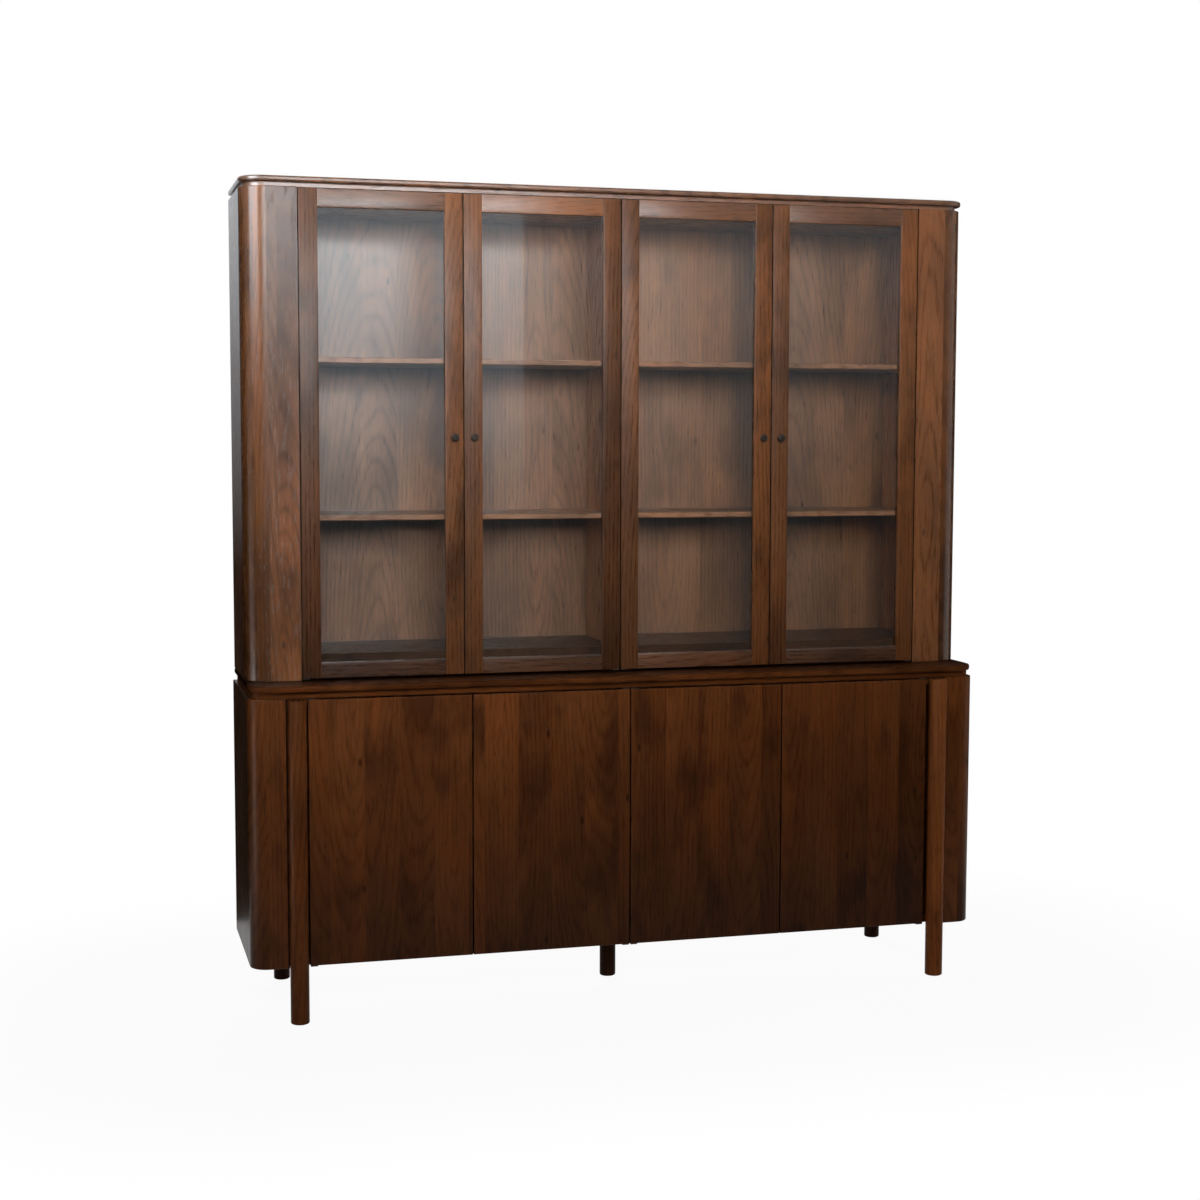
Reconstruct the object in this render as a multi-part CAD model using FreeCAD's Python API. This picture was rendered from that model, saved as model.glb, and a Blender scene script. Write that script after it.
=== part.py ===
import FreeCAD, Part
import os
from math import sqrt

# Two-piece display cabinet: a low cupboard with four plain doors on round posts and legs,
# and a glazed hutch with four framed doors that is bolted on top of it.
# Millimetres. X is to the right, Y to the back, Z up; the origin is on the floor,
# under the middle of the whole cabinet.

# ---- overall sizes
BASE_WIDTH = 2000.0
BASE_DEPTH = 443.0              # door faces to the back
FLOOR_CLEARANCE = 140.0         # floor to the underside of the cupboard
BASE_BODY_HEIGHT = 692.0
HUTCH_BODY_HEIGHT = 1257.0
HUTCH_SIDE_INSET = 4.0          # hutch side behind the cupboard side
HUTCH_SETBACK = 102.5           # hutch door faces behind the cupboard door faces

# ---- rounded body corners, necks and slabs
BASE_CORNER_RADIUS = 46.0
HUTCH_CORNER_RADIUS = 64.0
NECK_INSET = 11.0               # the neck stands back from the body all round the front
BASE_NECK_HEIGHT = 17.0
HUTCH_NECK_HEIGHT = 11.0
BASE_SLAB_THICKNESS = 16.0
HUTCH_SLAB_THICKNESS = 14.0
BASE_SLAB_OVERHANG = 13.0       # slab front ahead of the door faces
HUTCH_SLAB_OVERHANG = 9.0
BASE_SLAB_SIDE_INSET = 4.0      # slab side behind the cupboard side
SLAB_CORNER_RADIUS = 62.0
SLAB_EDGE_ROUND = 5.0

# ---- boards
SIDE_THICKNESS = 22.0
PANEL_THICKNESS = 20.0          # floors, tops and ceilings
UPRIGHT_THICKNESS = 18.0
PARTITION_THICKNESS = 18.0
BACK_THICKNESS = 6.0
BACK_RECESS = 7.0               # back board in from the back edge of the sides
RAIL_THICKNESS = 22.0
BASE_SHELF_THICKNESS = 18.0
HUTCH_SHELF_THICKNESS = 14.0
PLINTH_RAIL_HEIGHT = 46.0       # under the hutch floor
HEAD_RAIL_HEIGHT = 23.0         # over the hutch ceiling
HUTCH_BAY_WIDENING = 48.0       # hutch upright's inner face outside the door opening
SOFT_EDGE = 2.0
GLUE_GAP = 0.3                  # between two curved faces that are glued together

# ---- doors
DOORS_IN_ROW = 4
SIDE_ZONE = 148.0               # cupboard side to the edge of the door opening
DOOR_THICKNESS = 20.0
DOOR_GAP = 3.0                  # between neighbouring doors, and door to fixed panel
DOOR_END_GAP = 3.0              # door top or bottom to the end of the body
HUTCH_DOOR_BOTTOM_GAP = 5.5
DOOR_BACK_GAP = 4.0             # door back to the boards behind it
DOOR_EDGE_ROUND = 1.5
STILE_WIDTH = 48.0
TOP_RAIL_HEIGHT = 46.0
BOTTOM_RAIL_HEIGHT = 41.0
TENON_LENGTH = 25.0
TENON_THICKNESS = 6.0
TENON_SHOULDER = 12.0
GLASS_THICKNESS = 4.0
GLASS_SETBACK = 8.0             # glass front behind the door face
REBATE_WIDTH = 8.0
GLASS_EDGE_CLEARANCE = 1.0

# ---- pivot hinges, one plate at the top and one at the bottom of each door
PIVOT_FROM_EDGE = 10.0
PIVOT_FROM_FACE = 6.0
PIVOT_PIN_RADIUS = 2.5
PIVOT_PIN_DEPTH = 10.0
PIVOT_BORE_SPARE = 2.0
RUNNING_CLEARANCE = 0.05
HINGE_PLATE_WIDTH = 18.0
HINGE_PLATE_THICKNESS = 2.0
HINGE_PLATE_GAP = 0.5           # plate to the end of the door
HINGE_PLATE_NOSE = 1.5          # plate front behind the door face
HINGE_PLATE_TAIL = 18.0         # length let into the board behind the door
HINGE_SCREW_RADIUS = 2.0
HINGE_SCREW_DEPTH = 13.0

# ---- knobs
KNOB_HEAD_RADIUS = 10.0
KNOB_HEAD_LENGTH = 9.0
KNOB_NECK_RADIUS = 4.5
KNOB_NECK_LENGTH = 9.0
KNOB_BASE_RADIUS = 6.5
KNOB_BASE_LENGTH = 2.0
KNOB_STUD_RADIUS = 2.0
KNOB_STUD_LENGTH = 14.0
KNOB_HEIGHT_IN_DOOR = 621.0     # above the bottom of the hutch door
KNOB_EDGE_ROUND = 3.0

# ---- posts and legs
POST_DIAMETER = 48.0
POST_STANDS_PROUD = 36.0        # post front ahead of the door faces
POST_TO_OPENING = 4.0           # post side to the edge of the door opening
POST_TOP_GAP = 1.5              # post top to the top of the cupboard body
POST_SIDE_GAP = 2.2             # post surface to the fixed panel, at the panel's face
POST_BACKER_WIDTH = 20.0
LEG_DIAMETER = 44.0
REAR_LEG_INSET = 2.0            # leg back to the back of the cupboard
FOOT_ROUND = 4.0
DOWEL_RADIUS = 4.0
DOWEL_IN_POST = 12.0
DOWEL_IN_UPRIGHT = 18.0
DOWEL_FROM_END = 100.0
LEG_BOLT_RADIUS = 4.0
LEG_BOLT_IN_LEG = 40.0
LEG_BOLT_IN_FLOOR = 15.0

# ---- shelves, pins, catches and the bolts that join hutch and cupboard
BASE_SHELF_FROM_BOTTOM = 335.0  # body bottom to the shelf's top
LOWER_SHELF_FROM_BOTTOM = 425.0
UPPER_SHELF_FROM_BOTTOM = 831.0
SHELF_SETBACK = 3.0             # shelf front behind the front of the boards
SHELF_SIDE_CLEARANCE = 1.0
SHELF_PIN_RADIUS = 2.5
SHELF_PIN_IN_WALL = 7.0
SHELF_PIN_OUT = 9.0
SHELF_PIN_FROM_EDGE = 40.0
CATCH_WIDTH = 36.0
CATCH_LENGTH = 30.0
CATCH_HEIGHT = 5.0
LATCH_WIDTH = 14.0
LATCH_LENGTH = 70.0
LATCH_HEIGHT = 12.0
LATCH_TIP_RADIUS = 4.0
LATCH_TIP_IN_CASE = 1.0
LATCH_TO_DOOR = 0.5
CATCH_FROM_DOOR_EDGE = 30.0
JOIN_BOLT_RADIUS = 3.0
JOIN_BOLT_HEAD_RADIUS = 6.5
JOIN_BOLT_HEAD_HEIGHT = 4.0
JOIN_BOLT_IN_RAIL = 32.0
JOIN_BOLT_FROM_MIDDLE = 600.0
BOLT_CLEARANCE = 0.5
FIT_CLEARANCE = 0.05            # pin, stud or screw in its own hole

# ---- levels
Z_BASE_BOTTOM = FLOOR_CLEARANCE
Z_BASE_TOP = Z_BASE_BOTTOM + BASE_BODY_HEIGHT
Z_BASE_SLAB = Z_BASE_TOP + BASE_NECK_HEIGHT
Z_HUTCH_BOTTOM = Z_BASE_SLAB + BASE_SLAB_THICKNESS
Z_HUTCH_TOP = Z_HUTCH_BOTTOM + HUTCH_BODY_HEIGHT
Z_HUTCH_SLAB = Z_HUTCH_TOP + HUTCH_NECK_HEIGHT
Z_CABINET_TOP = Z_HUTCH_SLAB + HUTCH_SLAB_THICKNESS
Z_HUTCH_FLOOR = Z_HUTCH_BOTTOM + PLINTH_RAIL_HEIGHT + PANEL_THICKNESS
Z_HUTCH_CEILING = Z_HUTCH_TOP - HEAD_RAIL_HEIGHT - PANEL_THICKNESS
Z_BASE_FLOOR = Z_BASE_BOTTOM + PANEL_THICKNESS
Z_BASE_CEILING = Z_BASE_TOP - PANEL_THICKNESS

# ---- fronts and backs
Y_BACK = (BASE_DEPTH + POST_STANDS_PROUD) / 2
Y_BASE_FACE = Y_BACK - BASE_DEPTH
Y_HUTCH_FACE = Y_BASE_FACE + HUTCH_SETBACK
Y_BACK_BOARD = Y_BACK - BACK_RECESS - BACK_THICKNESS
FRAME_SETBACK = DOOR_THICKNESS + DOOR_BACK_GAP

# ---- places across the width
BASE_HALF = BASE_WIDTH / 2
HUTCH_HALF = BASE_HALF - HUTCH_SIDE_INSET
OPENING_HALF = BASE_HALF - SIDE_ZONE
DOOR_PITCH = 2 * OPENING_HALF / DOORS_IN_ROW
POST_X = OPENING_HALF + POST_TO_OPENING + POST_DIAMETER / 2
POST_Y = Y_BASE_FACE - POST_STANDS_PROUD + POST_DIAMETER / 2
HUTCH_UPRIGHT_X = OPENING_HALF + HUTCH_BAY_WIDENING
BASE_UPRIGHT_X = POST_X - UPRIGHT_THICKNESS / 2

LEFT, RIGHT = -1, 1
SAME_PLACE = 1e-6               # two levels nearer than this are one level
POINT_LIKE = 1.0                # an edge shorter than this along an axis runs across it


# ---------------------------------------------------------------- shape helpers
def box(x0, x1, y0, y1, z0, z1):
    low = FreeCAD.Vector(min(x0, x1), min(y0, y1), min(z0, z1))
    return Part.makeBox(abs(x1 - x0), abs(y1 - y0), abs(z1 - z0), low)


def rod(start, axis, radius, length):
    return Part.makeCylinder(radius, length, FreeCAD.Vector(*start), FreeCAD.Vector(*axis))


def rod_z(x, y, radius, z0, z1):
    return rod((x, y, min(z0, z1)), (0, 0, 1), radius, abs(z1 - z0))


def mirrored(shape):
    return shape.mirror(FreeCAD.Vector(0, 0, 0), FreeCAD.Vector(1, 0, 0))


def on_side(shape, side):
    """A shape drawn for the right-hand side, put on the side asked for."""
    return shape if side == RIGHT else mirrored(shape)


def both_sides(shapes):
    return list(shapes) + [mirrored(shape) for shape in shapes]


def plate(half_width, y_front, y_back, radius, z0, z1):
    """A board whose two front corners are rounded in plan."""
    left, right = -half_width, half_width
    bend = radius * (1 - sqrt(0.5))
    points = [
        FreeCAD.Vector(left, y_back, z0),
        FreeCAD.Vector(left, y_front + radius, z0),
        FreeCAD.Vector(left + bend, y_front + bend, z0),
        FreeCAD.Vector(left + radius, y_front, z0),
        FreeCAD.Vector(right - radius, y_front, z0),
        FreeCAD.Vector(right - bend, y_front + bend, z0),
        FreeCAD.Vector(right, y_front + radius, z0),
        FreeCAD.Vector(right, y_back, z0),
    ]
    edges = [
        Part.makeLine(points[0], points[1]),
        Part.Arc(points[1], points[2], points[3]).toShape(),
        Part.makeLine(points[3], points[4]),
        Part.Arc(points[4], points[5], points[6]).toShape(),
        Part.makeLine(points[6], points[7]),
        Part.makeLine(points[7], points[0]),
    ]
    face = Part.Face(Part.Wire(edges))
    return face.extrude(FreeCAD.Vector(0, 0, z1 - z0))


def edges_where(shape, test):
    return [edge for edge in shape.Edges if test(edge)]


def lies_level(edge, z):
    box_of_edge = edge.BoundBox
    return abs(box_of_edge.ZMin - z) < SAME_PLACE and abs(box_of_edge.ZMax - z) < SAME_PLACE


def lies_across(edge, y):
    box_of_edge = edge.BoundBox
    return abs(box_of_edge.YMin - y) < SAME_PLACE and abs(box_of_edge.YMax - y) < SAME_PLACE


def soften(shape, radius, test):
    """Rounds the edges that pass the test."""
    return shape.makeFillet(radius, edges_where(shape, test))


def without(shape, cutters):
    return shape.cut(Part.makeCompound(cutters)) if cutters else shape


def quarter_ring(half_width, y_front, radius, thickness, z0, z1):
    """The curved stave that turns a right-hand front corner."""
    x = half_width - radius
    y = y_front + radius
    outer = rod_z(x, y, radius, z0, z1)
    inner = rod_z(x, y, radius - thickness, z0, z1)
    quadrant = box(x, x + radius, y - radius, y, z0, z1)
    return outer.cut(inner).common(quadrant)


# ---------------------------------------------------------------- doors and hinges
class Door:
    """One door leaf's place: its edges, its pivot and which side it hangs from."""

    def __init__(self, name, index, y_face, z_bottom, z_top, hung):
        self.name = name
        self.left = index * DOOR_PITCH - OPENING_HALF + DOOR_GAP / 2
        self.right = self.left + DOOR_PITCH - DOOR_GAP
        self.y_face = y_face
        self.y_back = y_face + DOOR_THICKNESS
        self.bottom = z_bottom
        self.top = z_top
        self.hung = hung
        hinge_edge = self.left if hung == LEFT else self.right
        free_edge = self.right if hung == LEFT else self.left
        self.pivot_x = hinge_edge - hung * PIVOT_FROM_EDGE
        self.pivot_y = y_face + PIVOT_FROM_FACE
        self.knob_x = free_edge + hung * STILE_WIDTH / 2
        self.catch_x = free_edge + hung * CATCH_FROM_DOOR_EDGE

    def ends(self):
        """(height of the plate's seat, +1 if the door is above it or -1 if it is below)."""
        return ((self.bottom - HINGE_PLATE_GAP, 1), (self.top + HINGE_PLATE_GAP, -1))


def row_of_doors(unit, y_face, z_bottom, z_top):
    places = ("outer_left", "inner_left", "inner_right", "outer_right")
    hung = (LEFT, RIGHT, LEFT, RIGHT)
    return [Door("%s_door_%s" % (unit, place), index, y_face, z_bottom, z_top, side)
            for index, (place, side) in enumerate(zip(places, hung))]


def pivot_bores(door):
    depth = HINGE_PLATE_GAP + PIVOT_PIN_DEPTH + PIVOT_BORE_SPARE
    radius = PIVOT_PIN_RADIUS + RUNNING_CLEARANCE
    return [rod_z(door.pivot_x, door.pivot_y, radius, seat, seat + up * depth)
            for seat, up in door.ends()]


def pivot_pins(door):
    reach = HINGE_PLATE_GAP + PIVOT_PIN_DEPTH
    return [rod_z(door.pivot_x, door.pivot_y, PIVOT_PIN_RADIUS,
                  seat - up * HINGE_PLATE_THICKNESS, seat + up * reach)
            for seat, up in door.ends()]


def hinge_tail_y(door):
    return door.y_face + FRAME_SETBACK + HINGE_PLATE_TAIL


def hinge_screw_y(door):
    return door.y_face + FRAME_SETBACK + HINGE_PLATE_TAIL / 2


def plate_shape(door, z0, z1, spare=0.0):
    """Outline of a hinge plate between two heights, wider by the spare all round."""
    half = HINGE_PLATE_WIDTH / 2 + spare
    return box(door.pivot_x - half, door.pivot_x + half,
               door.y_face + HINGE_PLATE_NOSE, hinge_tail_y(door) + spare, z0, z1)


def hinge_plates(door):
    plates = []
    for seat, up in door.ends():
        back = seat - up * HINGE_PLATE_THICKNESS
        shape = plate_shape(door, back, seat)
        holes = [
            rod_z(door.pivot_x, door.pivot_y, PIVOT_PIN_RADIUS + FIT_CLEARANCE, back, seat),
            rod_z(door.pivot_x, hinge_screw_y(door), HINGE_SCREW_RADIUS + FIT_CLEARANCE, back, seat),
        ]
        plates.append(without(shape, holes))
    return plates


def hinge_screws(door):
    return [rod_z(door.pivot_x, hinge_screw_y(door), HINGE_SCREW_RADIUS,
                  seat - up * HINGE_PLATE_THICKNESS, seat + up * HINGE_SCREW_DEPTH)
            for seat, up in door.ends()]


def hinge_pockets(door, end, outer_face):
    """What is cut from the board behind one end of a door: 0 is its bottom, 1 its top."""
    seat, up = door.ends()[end]
    pocket = plate_shape(door, outer_face, seat, FIT_CLEARANCE)
    pilot = rod_z(door.pivot_x, hinge_screw_y(door), HINGE_SCREW_RADIUS + FIT_CLEARANCE,
                  seat, seat + up * HINGE_SCREW_DEPTH)
    return [pocket, pilot]


def slab_door(door):
    leaf = box(door.left, door.right, door.y_face, door.y_back, door.bottom, door.top)
    leaf = soften(leaf, DOOR_EDGE_ROUND, lambda edge: lies_across(edge, door.y_face))
    return without(leaf, pivot_bores(door))


def framed_door(door):
    """Two stiles, two tenoned rails and four glazing beads, each its own solid."""
    y0, y1 = door.y_face, door.y_back
    sight_left = door.left + STILE_WIDTH
    sight_right = door.right - STILE_WIDTH
    sight_bottom = door.bottom + BOTTOM_RAIL_HEIGHT
    sight_top = door.top - TOP_RAIL_HEIGHT
    y_glass = y0 + GLASS_SETBACK
    y_bead = y_glass + GLASS_THICKNESS
    rebate = box(sight_left - REBATE_WIDTH, sight_right + REBATE_WIDTH, y_glass, y1,
                 sight_bottom - REBATE_WIDTH, sight_top + REBATE_WIDTH)
    y_tenon = (y0 + y1 - TENON_THICKNESS) / 2

    def tenon(side, z0, z1, spare=0.0):
        shoulder = sight_left if side == LEFT else sight_right
        reach = shoulder + side * (TENON_LENGTH + spare)
        return box(shoulder, reach, y_tenon, y_tenon + TENON_THICKNESS, z0, z1)

    rails = {
        "bottom": (door.bottom, sight_bottom, door.bottom + TENON_SHOULDER,
                   sight_bottom - REBATE_WIDTH - SOFT_EDGE),
        "top": (sight_top, door.top, sight_top + REBATE_WIDTH + SOFT_EDGE,
                door.top - TENON_SHOULDER),
    }
    pieces = []
    for side, x0, x1 in ((LEFT, door.left, sight_left), (RIGHT, sight_right, door.right)):
        stile = box(x0, x1, y0, y1, door.bottom, door.top)
        stile = soften(stile, DOOR_EDGE_ROUND, lambda edge: lies_across(edge, y0))
        cuts = [rebate] + [tenon(side, rail[2], rail[3], FIT_CLEARANCE) for rail in rails.values()]
        if side == door.hung:
            cuts += pivot_bores(door)
        else:
            z_knob = door.bottom + KNOB_HEIGHT_IN_DOOR
            cuts.append(rod((door.knob_x, y0, z_knob), (0, 1, 0),
                            KNOB_STUD_RADIUS + FIT_CLEARANCE, KNOB_STUD_LENGTH + FIT_CLEARANCE))
        pieces.append(without(stile, cuts))
    for z0, z1, tenon_low, tenon_high in rails.values():
        rail = box(sight_left, sight_right, y0, y1, z0, z1)
        rail = soften(rail, DOOR_EDGE_ROUND,
                      lambda edge: lies_across(edge, y0) and edge.BoundBox.XLength > POINT_LIKE)
        rail = rail.cut(rebate)
        for side in (LEFT, RIGHT):
            rail = rail.fuse(tenon(side, tenon_low, tenon_high))
        pieces.append(rail)
    for side, x in ((LEFT, sight_left), (RIGHT, sight_right)):
        pieces.append(box(x, x + side * REBATE_WIDTH, y_bead, y1,
                          sight_bottom - REBATE_WIDTH, sight_top + REBATE_WIDTH))
    for z, step in ((sight_bottom, -REBATE_WIDTH), (sight_top, REBATE_WIDTH)):
        pieces.append(box(sight_left, sight_right, y_bead, y1, z, z + step))
    return pieces


def door_glass(door):
    cover = REBATE_WIDTH - GLASS_EDGE_CLEARANCE
    y0 = door.y_face + GLASS_SETBACK
    return box(door.left + STILE_WIDTH - cover, door.right - STILE_WIDTH + cover,
               y0, y0 + GLASS_THICKNESS,
               door.bottom + BOTTOM_RAIL_HEIGHT - cover, door.top - TOP_RAIL_HEIGHT + cover)


def knob(door):
    """Turned metal knob with the stud that holds it in the stile."""
    z = door.bottom + KNOB_HEIGHT_IN_DOOR
    y = door.y_face
    start = (door.knob_x, y, z)
    base = rod(start, (0, -1, 0), KNOB_BASE_RADIUS, KNOB_BASE_LENGTH)
    neck = rod(start, (0, -1, 0), KNOB_NECK_RADIUS, KNOB_NECK_LENGTH)
    head_start = (door.knob_x, y - KNOB_NECK_LENGTH, z)
    head = rod(head_start, (0, -1, 0), KNOB_HEAD_RADIUS, KNOB_HEAD_LENGTH)
    head = head.makeFillet(KNOB_EDGE_ROUND, [edge for edge in head.Edges if edge.Closed])
    stud = rod(start, (0, 1, 0), KNOB_STUD_RADIUS, KNOB_STUD_LENGTH)
    return base.multiFuse([neck, head, stud])


# ---------------------------------------------------------------- carcass pieces
def body_plate(half, y_face, radius, z0, z1):
    """Floor or top board: fits inside the sides, the corner staves and the back board."""
    inner = half - SIDE_THICKNESS
    board = box(-inner, inner, y_face + FRAME_SETBACK, Y_BACK_BOARD, z0, z1)
    stave = quarter_ring(half, y_face, radius, SIDE_THICKNESS + GLUE_GAP, z0, z1)
    return without(board, both_sides([stave]))


def side_board(half, y_face, radius, z0, z1):
    board = box(half - SIDE_THICKNESS, half, y_face + radius, Y_BACK, z0, z1)
    return soften(board, SOFT_EDGE, lambda edge: edge.BoundBox.YLength > POINT_LIKE
                  and edge.BoundBox.XMin > half - SOFT_EDGE)


def corner_stave(half, y_face, radius, z0, z1):
    stave = quarter_ring(half, y_face, radius, SIDE_THICKNESS, z0, z1)

    def outer_end(edge):
        level = lies_level(edge, z0) or lies_level(edge, z1)
        reaches_side = abs(edge.BoundBox.XMax - half) < SAME_PLACE
        return level and reaches_side and edge.BoundBox.YLength > POINT_LIKE

    return soften(stave, SOFT_EDGE, outer_end)


def front_panel(x0, x1, y_face, z0, z1):
    panel = box(x0, x1, y_face, y_face + FRAME_SETBACK, z0, z1)
    return soften(panel, SOFT_EDGE, lambda edge: lies_across(edge, y_face)
                  and edge.BoundBox.XLength > POINT_LIKE)


def slab(half_width, y_front, z0, z1):
    board = plate(half_width, y_front, Y_BACK, SLAB_CORNER_RADIUS, z0, z1)

    def outer(edge):
        level = lies_level(edge, z0) or lies_level(edge, z1)
        return level and not lies_across(edge, Y_BACK)

    return soften(board, SLAB_EDGE_ROUND, outer)


def back_board(half, z0, z1):
    inner = half - SIDE_THICKNESS
    return box(-inner, inner, Y_BACK_BOARD, Y_BACK_BOARD + BACK_THICKNESS, z0, z1)


class Shelf:
    """One shelf on four pins between a partition and an upright, drawn for the right side."""

    def __init__(self, wall_x, y_face, top, thickness):
        self.x0 = PARTITION_THICKNESS / 2
        self.x1 = wall_x
        self.y0 = y_face + FRAME_SETBACK + SHELF_SETBACK
        self.y1 = Y_BACK_BOARD - SHELF_SIDE_CLEARANCE
        self.top = top
        self.bottom = top - thickness

    def board(self):
        shelf = box(self.x0 + SHELF_SIDE_CLEARANCE, self.x1 - SHELF_SIDE_CLEARANCE,
                    self.y0, self.y1, self.bottom, self.top)
        return soften(shelf, SOFT_EDGE, lambda edge: lies_across(edge, self.y0)
                      and edge.BoundBox.XLength > POINT_LIKE)

    def rods(self, radius, reach_in, reach_out):
        """Four rods under the shelf, so far into the walls and so far out of them."""
        z = self.bottom - SHELF_PIN_RADIUS
        rods = []
        for y in (self.y0 + SHELF_PIN_FROM_EDGE, self.y1 - SHELF_PIN_FROM_EDGE):
            rods.append(rod((self.x0 - reach_in, y, z), (1, 0, 0), radius, reach_in + reach_out))
            rods.append(rod((self.x1 - reach_out, y, z), (1, 0, 0), radius, reach_in + reach_out))
        return rods

    def pins(self):
        return self.rods(SHELF_PIN_RADIUS, SHELF_PIN_IN_WALL, SHELF_PIN_OUT)

    def holes(self):
        return self.rods(SHELF_PIN_RADIUS + FIT_CLEARANCE, SHELF_PIN_IN_WALL + FIT_CLEARANCE, 0.0)


# ---------------------------------------------------------------- the pieces
base_doors = row_of_doors("base", Y_BASE_FACE, Z_BASE_BOTTOM + DOOR_END_GAP,
                          Z_BASE_TOP - DOOR_END_GAP)
hutch_doors = row_of_doors("hutch", Y_HUTCH_FACE, Z_HUTCH_BOTTOM + HUTCH_DOOR_BOTTOM_GAP,
                           Z_HUTCH_TOP - DOOR_END_GAP)
base_shelf = Shelf(BASE_UPRIGHT_X, Y_BASE_FACE, Z_BASE_BOTTOM + BASE_SHELF_FROM_BOTTOM,
                   BASE_SHELF_THICKNESS)
lower_shelf = Shelf(HUTCH_UPRIGHT_X, Y_HUTCH_FACE, Z_HUTCH_BOTTOM + LOWER_SHELF_FROM_BOTTOM,
                    HUTCH_SHELF_THICKNESS)
upper_shelf = Shelf(HUTCH_UPRIGHT_X, Y_HUTCH_FACE, Z_HUTCH_BOTTOM + UPPER_SHELF_FROM_BOTTOM,
                    HUTCH_SHELF_THICKNESS)


def rail_front_y(y_face):
    return y_face + FRAME_SETBACK


def rail_pair(z0, z1):
    """Front and back rails of the hutch at one level."""
    half = HUTCH_HALF - HUTCH_CORNER_RADIUS
    y0 = rail_front_y(Y_HUTCH_FACE)
    front = box(-half, half, y0, y0 + RAIL_THICKNESS, z0, z1)
    back = box(-half, half, Y_BACK_BOARD - RAIL_THICKNESS, Y_BACK_BOARD, z0, z1)
    return [front, back]


def join_bolt_places():
    y_rails = (rail_front_y(Y_HUTCH_FACE) + RAIL_THICKNESS / 2, Y_BACK_BOARD - RAIL_THICKNESS / 2)
    return [(side * JOIN_BOLT_FROM_MIDDLE, y) for side in (LEFT, RIGHT) for y in y_rails]


def join_bolts():
    bolts = []
    for x, y in join_bolt_places():
        shank = rod_z(x, y, JOIN_BOLT_RADIUS, Z_BASE_CEILING, Z_HUTCH_BOTTOM + JOIN_BOLT_IN_RAIL)
        head = rod_z(x, y, JOIN_BOLT_HEAD_RADIUS, Z_BASE_CEILING - JOIN_BOLT_HEAD_HEIGHT,
                     Z_BASE_CEILING)
        bolts.append(shank.fuse(head))
    return bolts


def join_bolt_holes(z0, z1, clearance):
    return [rod_z(x, y, JOIN_BOLT_RADIUS + clearance, z0, z1) for x, y in join_bolt_places()]


def leg_places():
    y_rear = Y_BACK - REAR_LEG_INSET - LEG_DIAMETER / 2
    y_middle = (Y_BASE_FACE + Y_BACK) / 2
    return {
        "rear_legs": [(-POST_X, y_rear), (POST_X, y_rear)],
        "middle_leg": [(0.0, y_middle)],
    }


def all_leg_places():
    return [place for places in leg_places().values() for place in places]


def turned_leg(x, y, diameter, z_top):
    leg = rod_z(x, y, diameter / 2, 0.0, z_top)
    return soften(leg, FOOT_ROUND, lambda edge: edge.Closed and lies_level(edge, 0.0))


def short_leg(x, y):
    leg = turned_leg(x, y, LEG_DIAMETER, Z_BASE_BOTTOM)
    bolt_hole = rod_z(x, y, LEG_BOLT_RADIUS + FIT_CLEARANCE,
                      Z_BASE_BOTTOM - LEG_BOLT_IN_LEG, Z_BASE_BOTTOM)
    return without(leg, [bolt_hole])


def post_dowel_rods(clearance):
    """Dowels that run from the right-hand post through its backer into the upright."""
    y0 = POST_Y + POST_DIAMETER / 2 - DOWEL_IN_POST
    y1 = Y_BASE_FACE + FRAME_SETBACK + DOWEL_IN_UPRIGHT
    heights = (Z_BASE_BOTTOM + DOWEL_FROM_END, (Z_BASE_BOTTOM + Z_BASE_TOP) / 2,
               Z_BASE_TOP - DOWEL_FROM_END)
    return [rod((POST_X, y0 - clearance, z), (0, 1, 0), DOWEL_RADIUS + clearance,
                y1 - y0 + 2 * clearance) for z in heights]


def front_post():
    post = turned_leg(POST_X, POST_Y, POST_DIAMETER, Z_BASE_TOP - POST_TOP_GAP)
    return without(post, post_dowel_rods(FIT_CLEARANCE))


def post_backer():
    strip = box(POST_X - POST_BACKER_WIDTH / 2, POST_X + POST_BACKER_WIDTH / 2, POST_Y,
                Y_BASE_FACE + FRAME_SETBACK, Z_BASE_BOTTOM, Z_BASE_TOP - POST_TOP_GAP)
    around_post = rod_z(POST_X, POST_Y, POST_DIAMETER / 2 + GLUE_GAP, 0.0, Z_BASE_TOP)
    return without(strip, [around_post] + post_dowel_rods(FIT_CLEARANCE))


def base_front_panel():
    half_chord = sqrt((POST_DIAMETER / 2) ** 2 - (Y_BASE_FACE - POST_Y) ** 2)
    x0 = POST_X + half_chord + POST_SIDE_GAP
    return front_panel(x0, BASE_HALF - BASE_CORNER_RADIUS, Y_BASE_FACE, Z_BASE_BOTTOM, Z_BASE_TOP)


def hutch_front_panel():
    return front_panel(OPENING_HALF + DOOR_GAP / 2, HUTCH_HALF - HUTCH_CORNER_RADIUS,
                       Y_HUTCH_FACE, Z_HUTCH_BOTTOM, Z_HUTCH_TOP)


def upright(x0, y_face, z0, z1):
    return box(x0, x0 + UPRIGHT_THICKNESS, y_face + FRAME_SETBACK, Y_BACK_BOARD, z0, z1)


def partition(y_face, z0, z1, shelves):
    half = PARTITION_THICKNESS / 2
    board = box(-half, half, y_face + FRAME_SETBACK, Y_BACK_BOARD, z0, z1)
    holes = [hole for shelf in shelves for hole in both_sides(shelf.holes())]
    return without(board, holes)


def magnet_catch(door):
    """Under the hutch ceiling, behind the free corner of a glazed door."""
    y0 = door.y_back + LATCH_TO_DOOR
    half = CATCH_WIDTH / 2
    return box(door.catch_x - half, door.catch_x + half, y0, y0 + CATCH_LENGTH,
               Z_HUTCH_CEILING - CATCH_HEIGHT, Z_HUTCH_CEILING)


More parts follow.
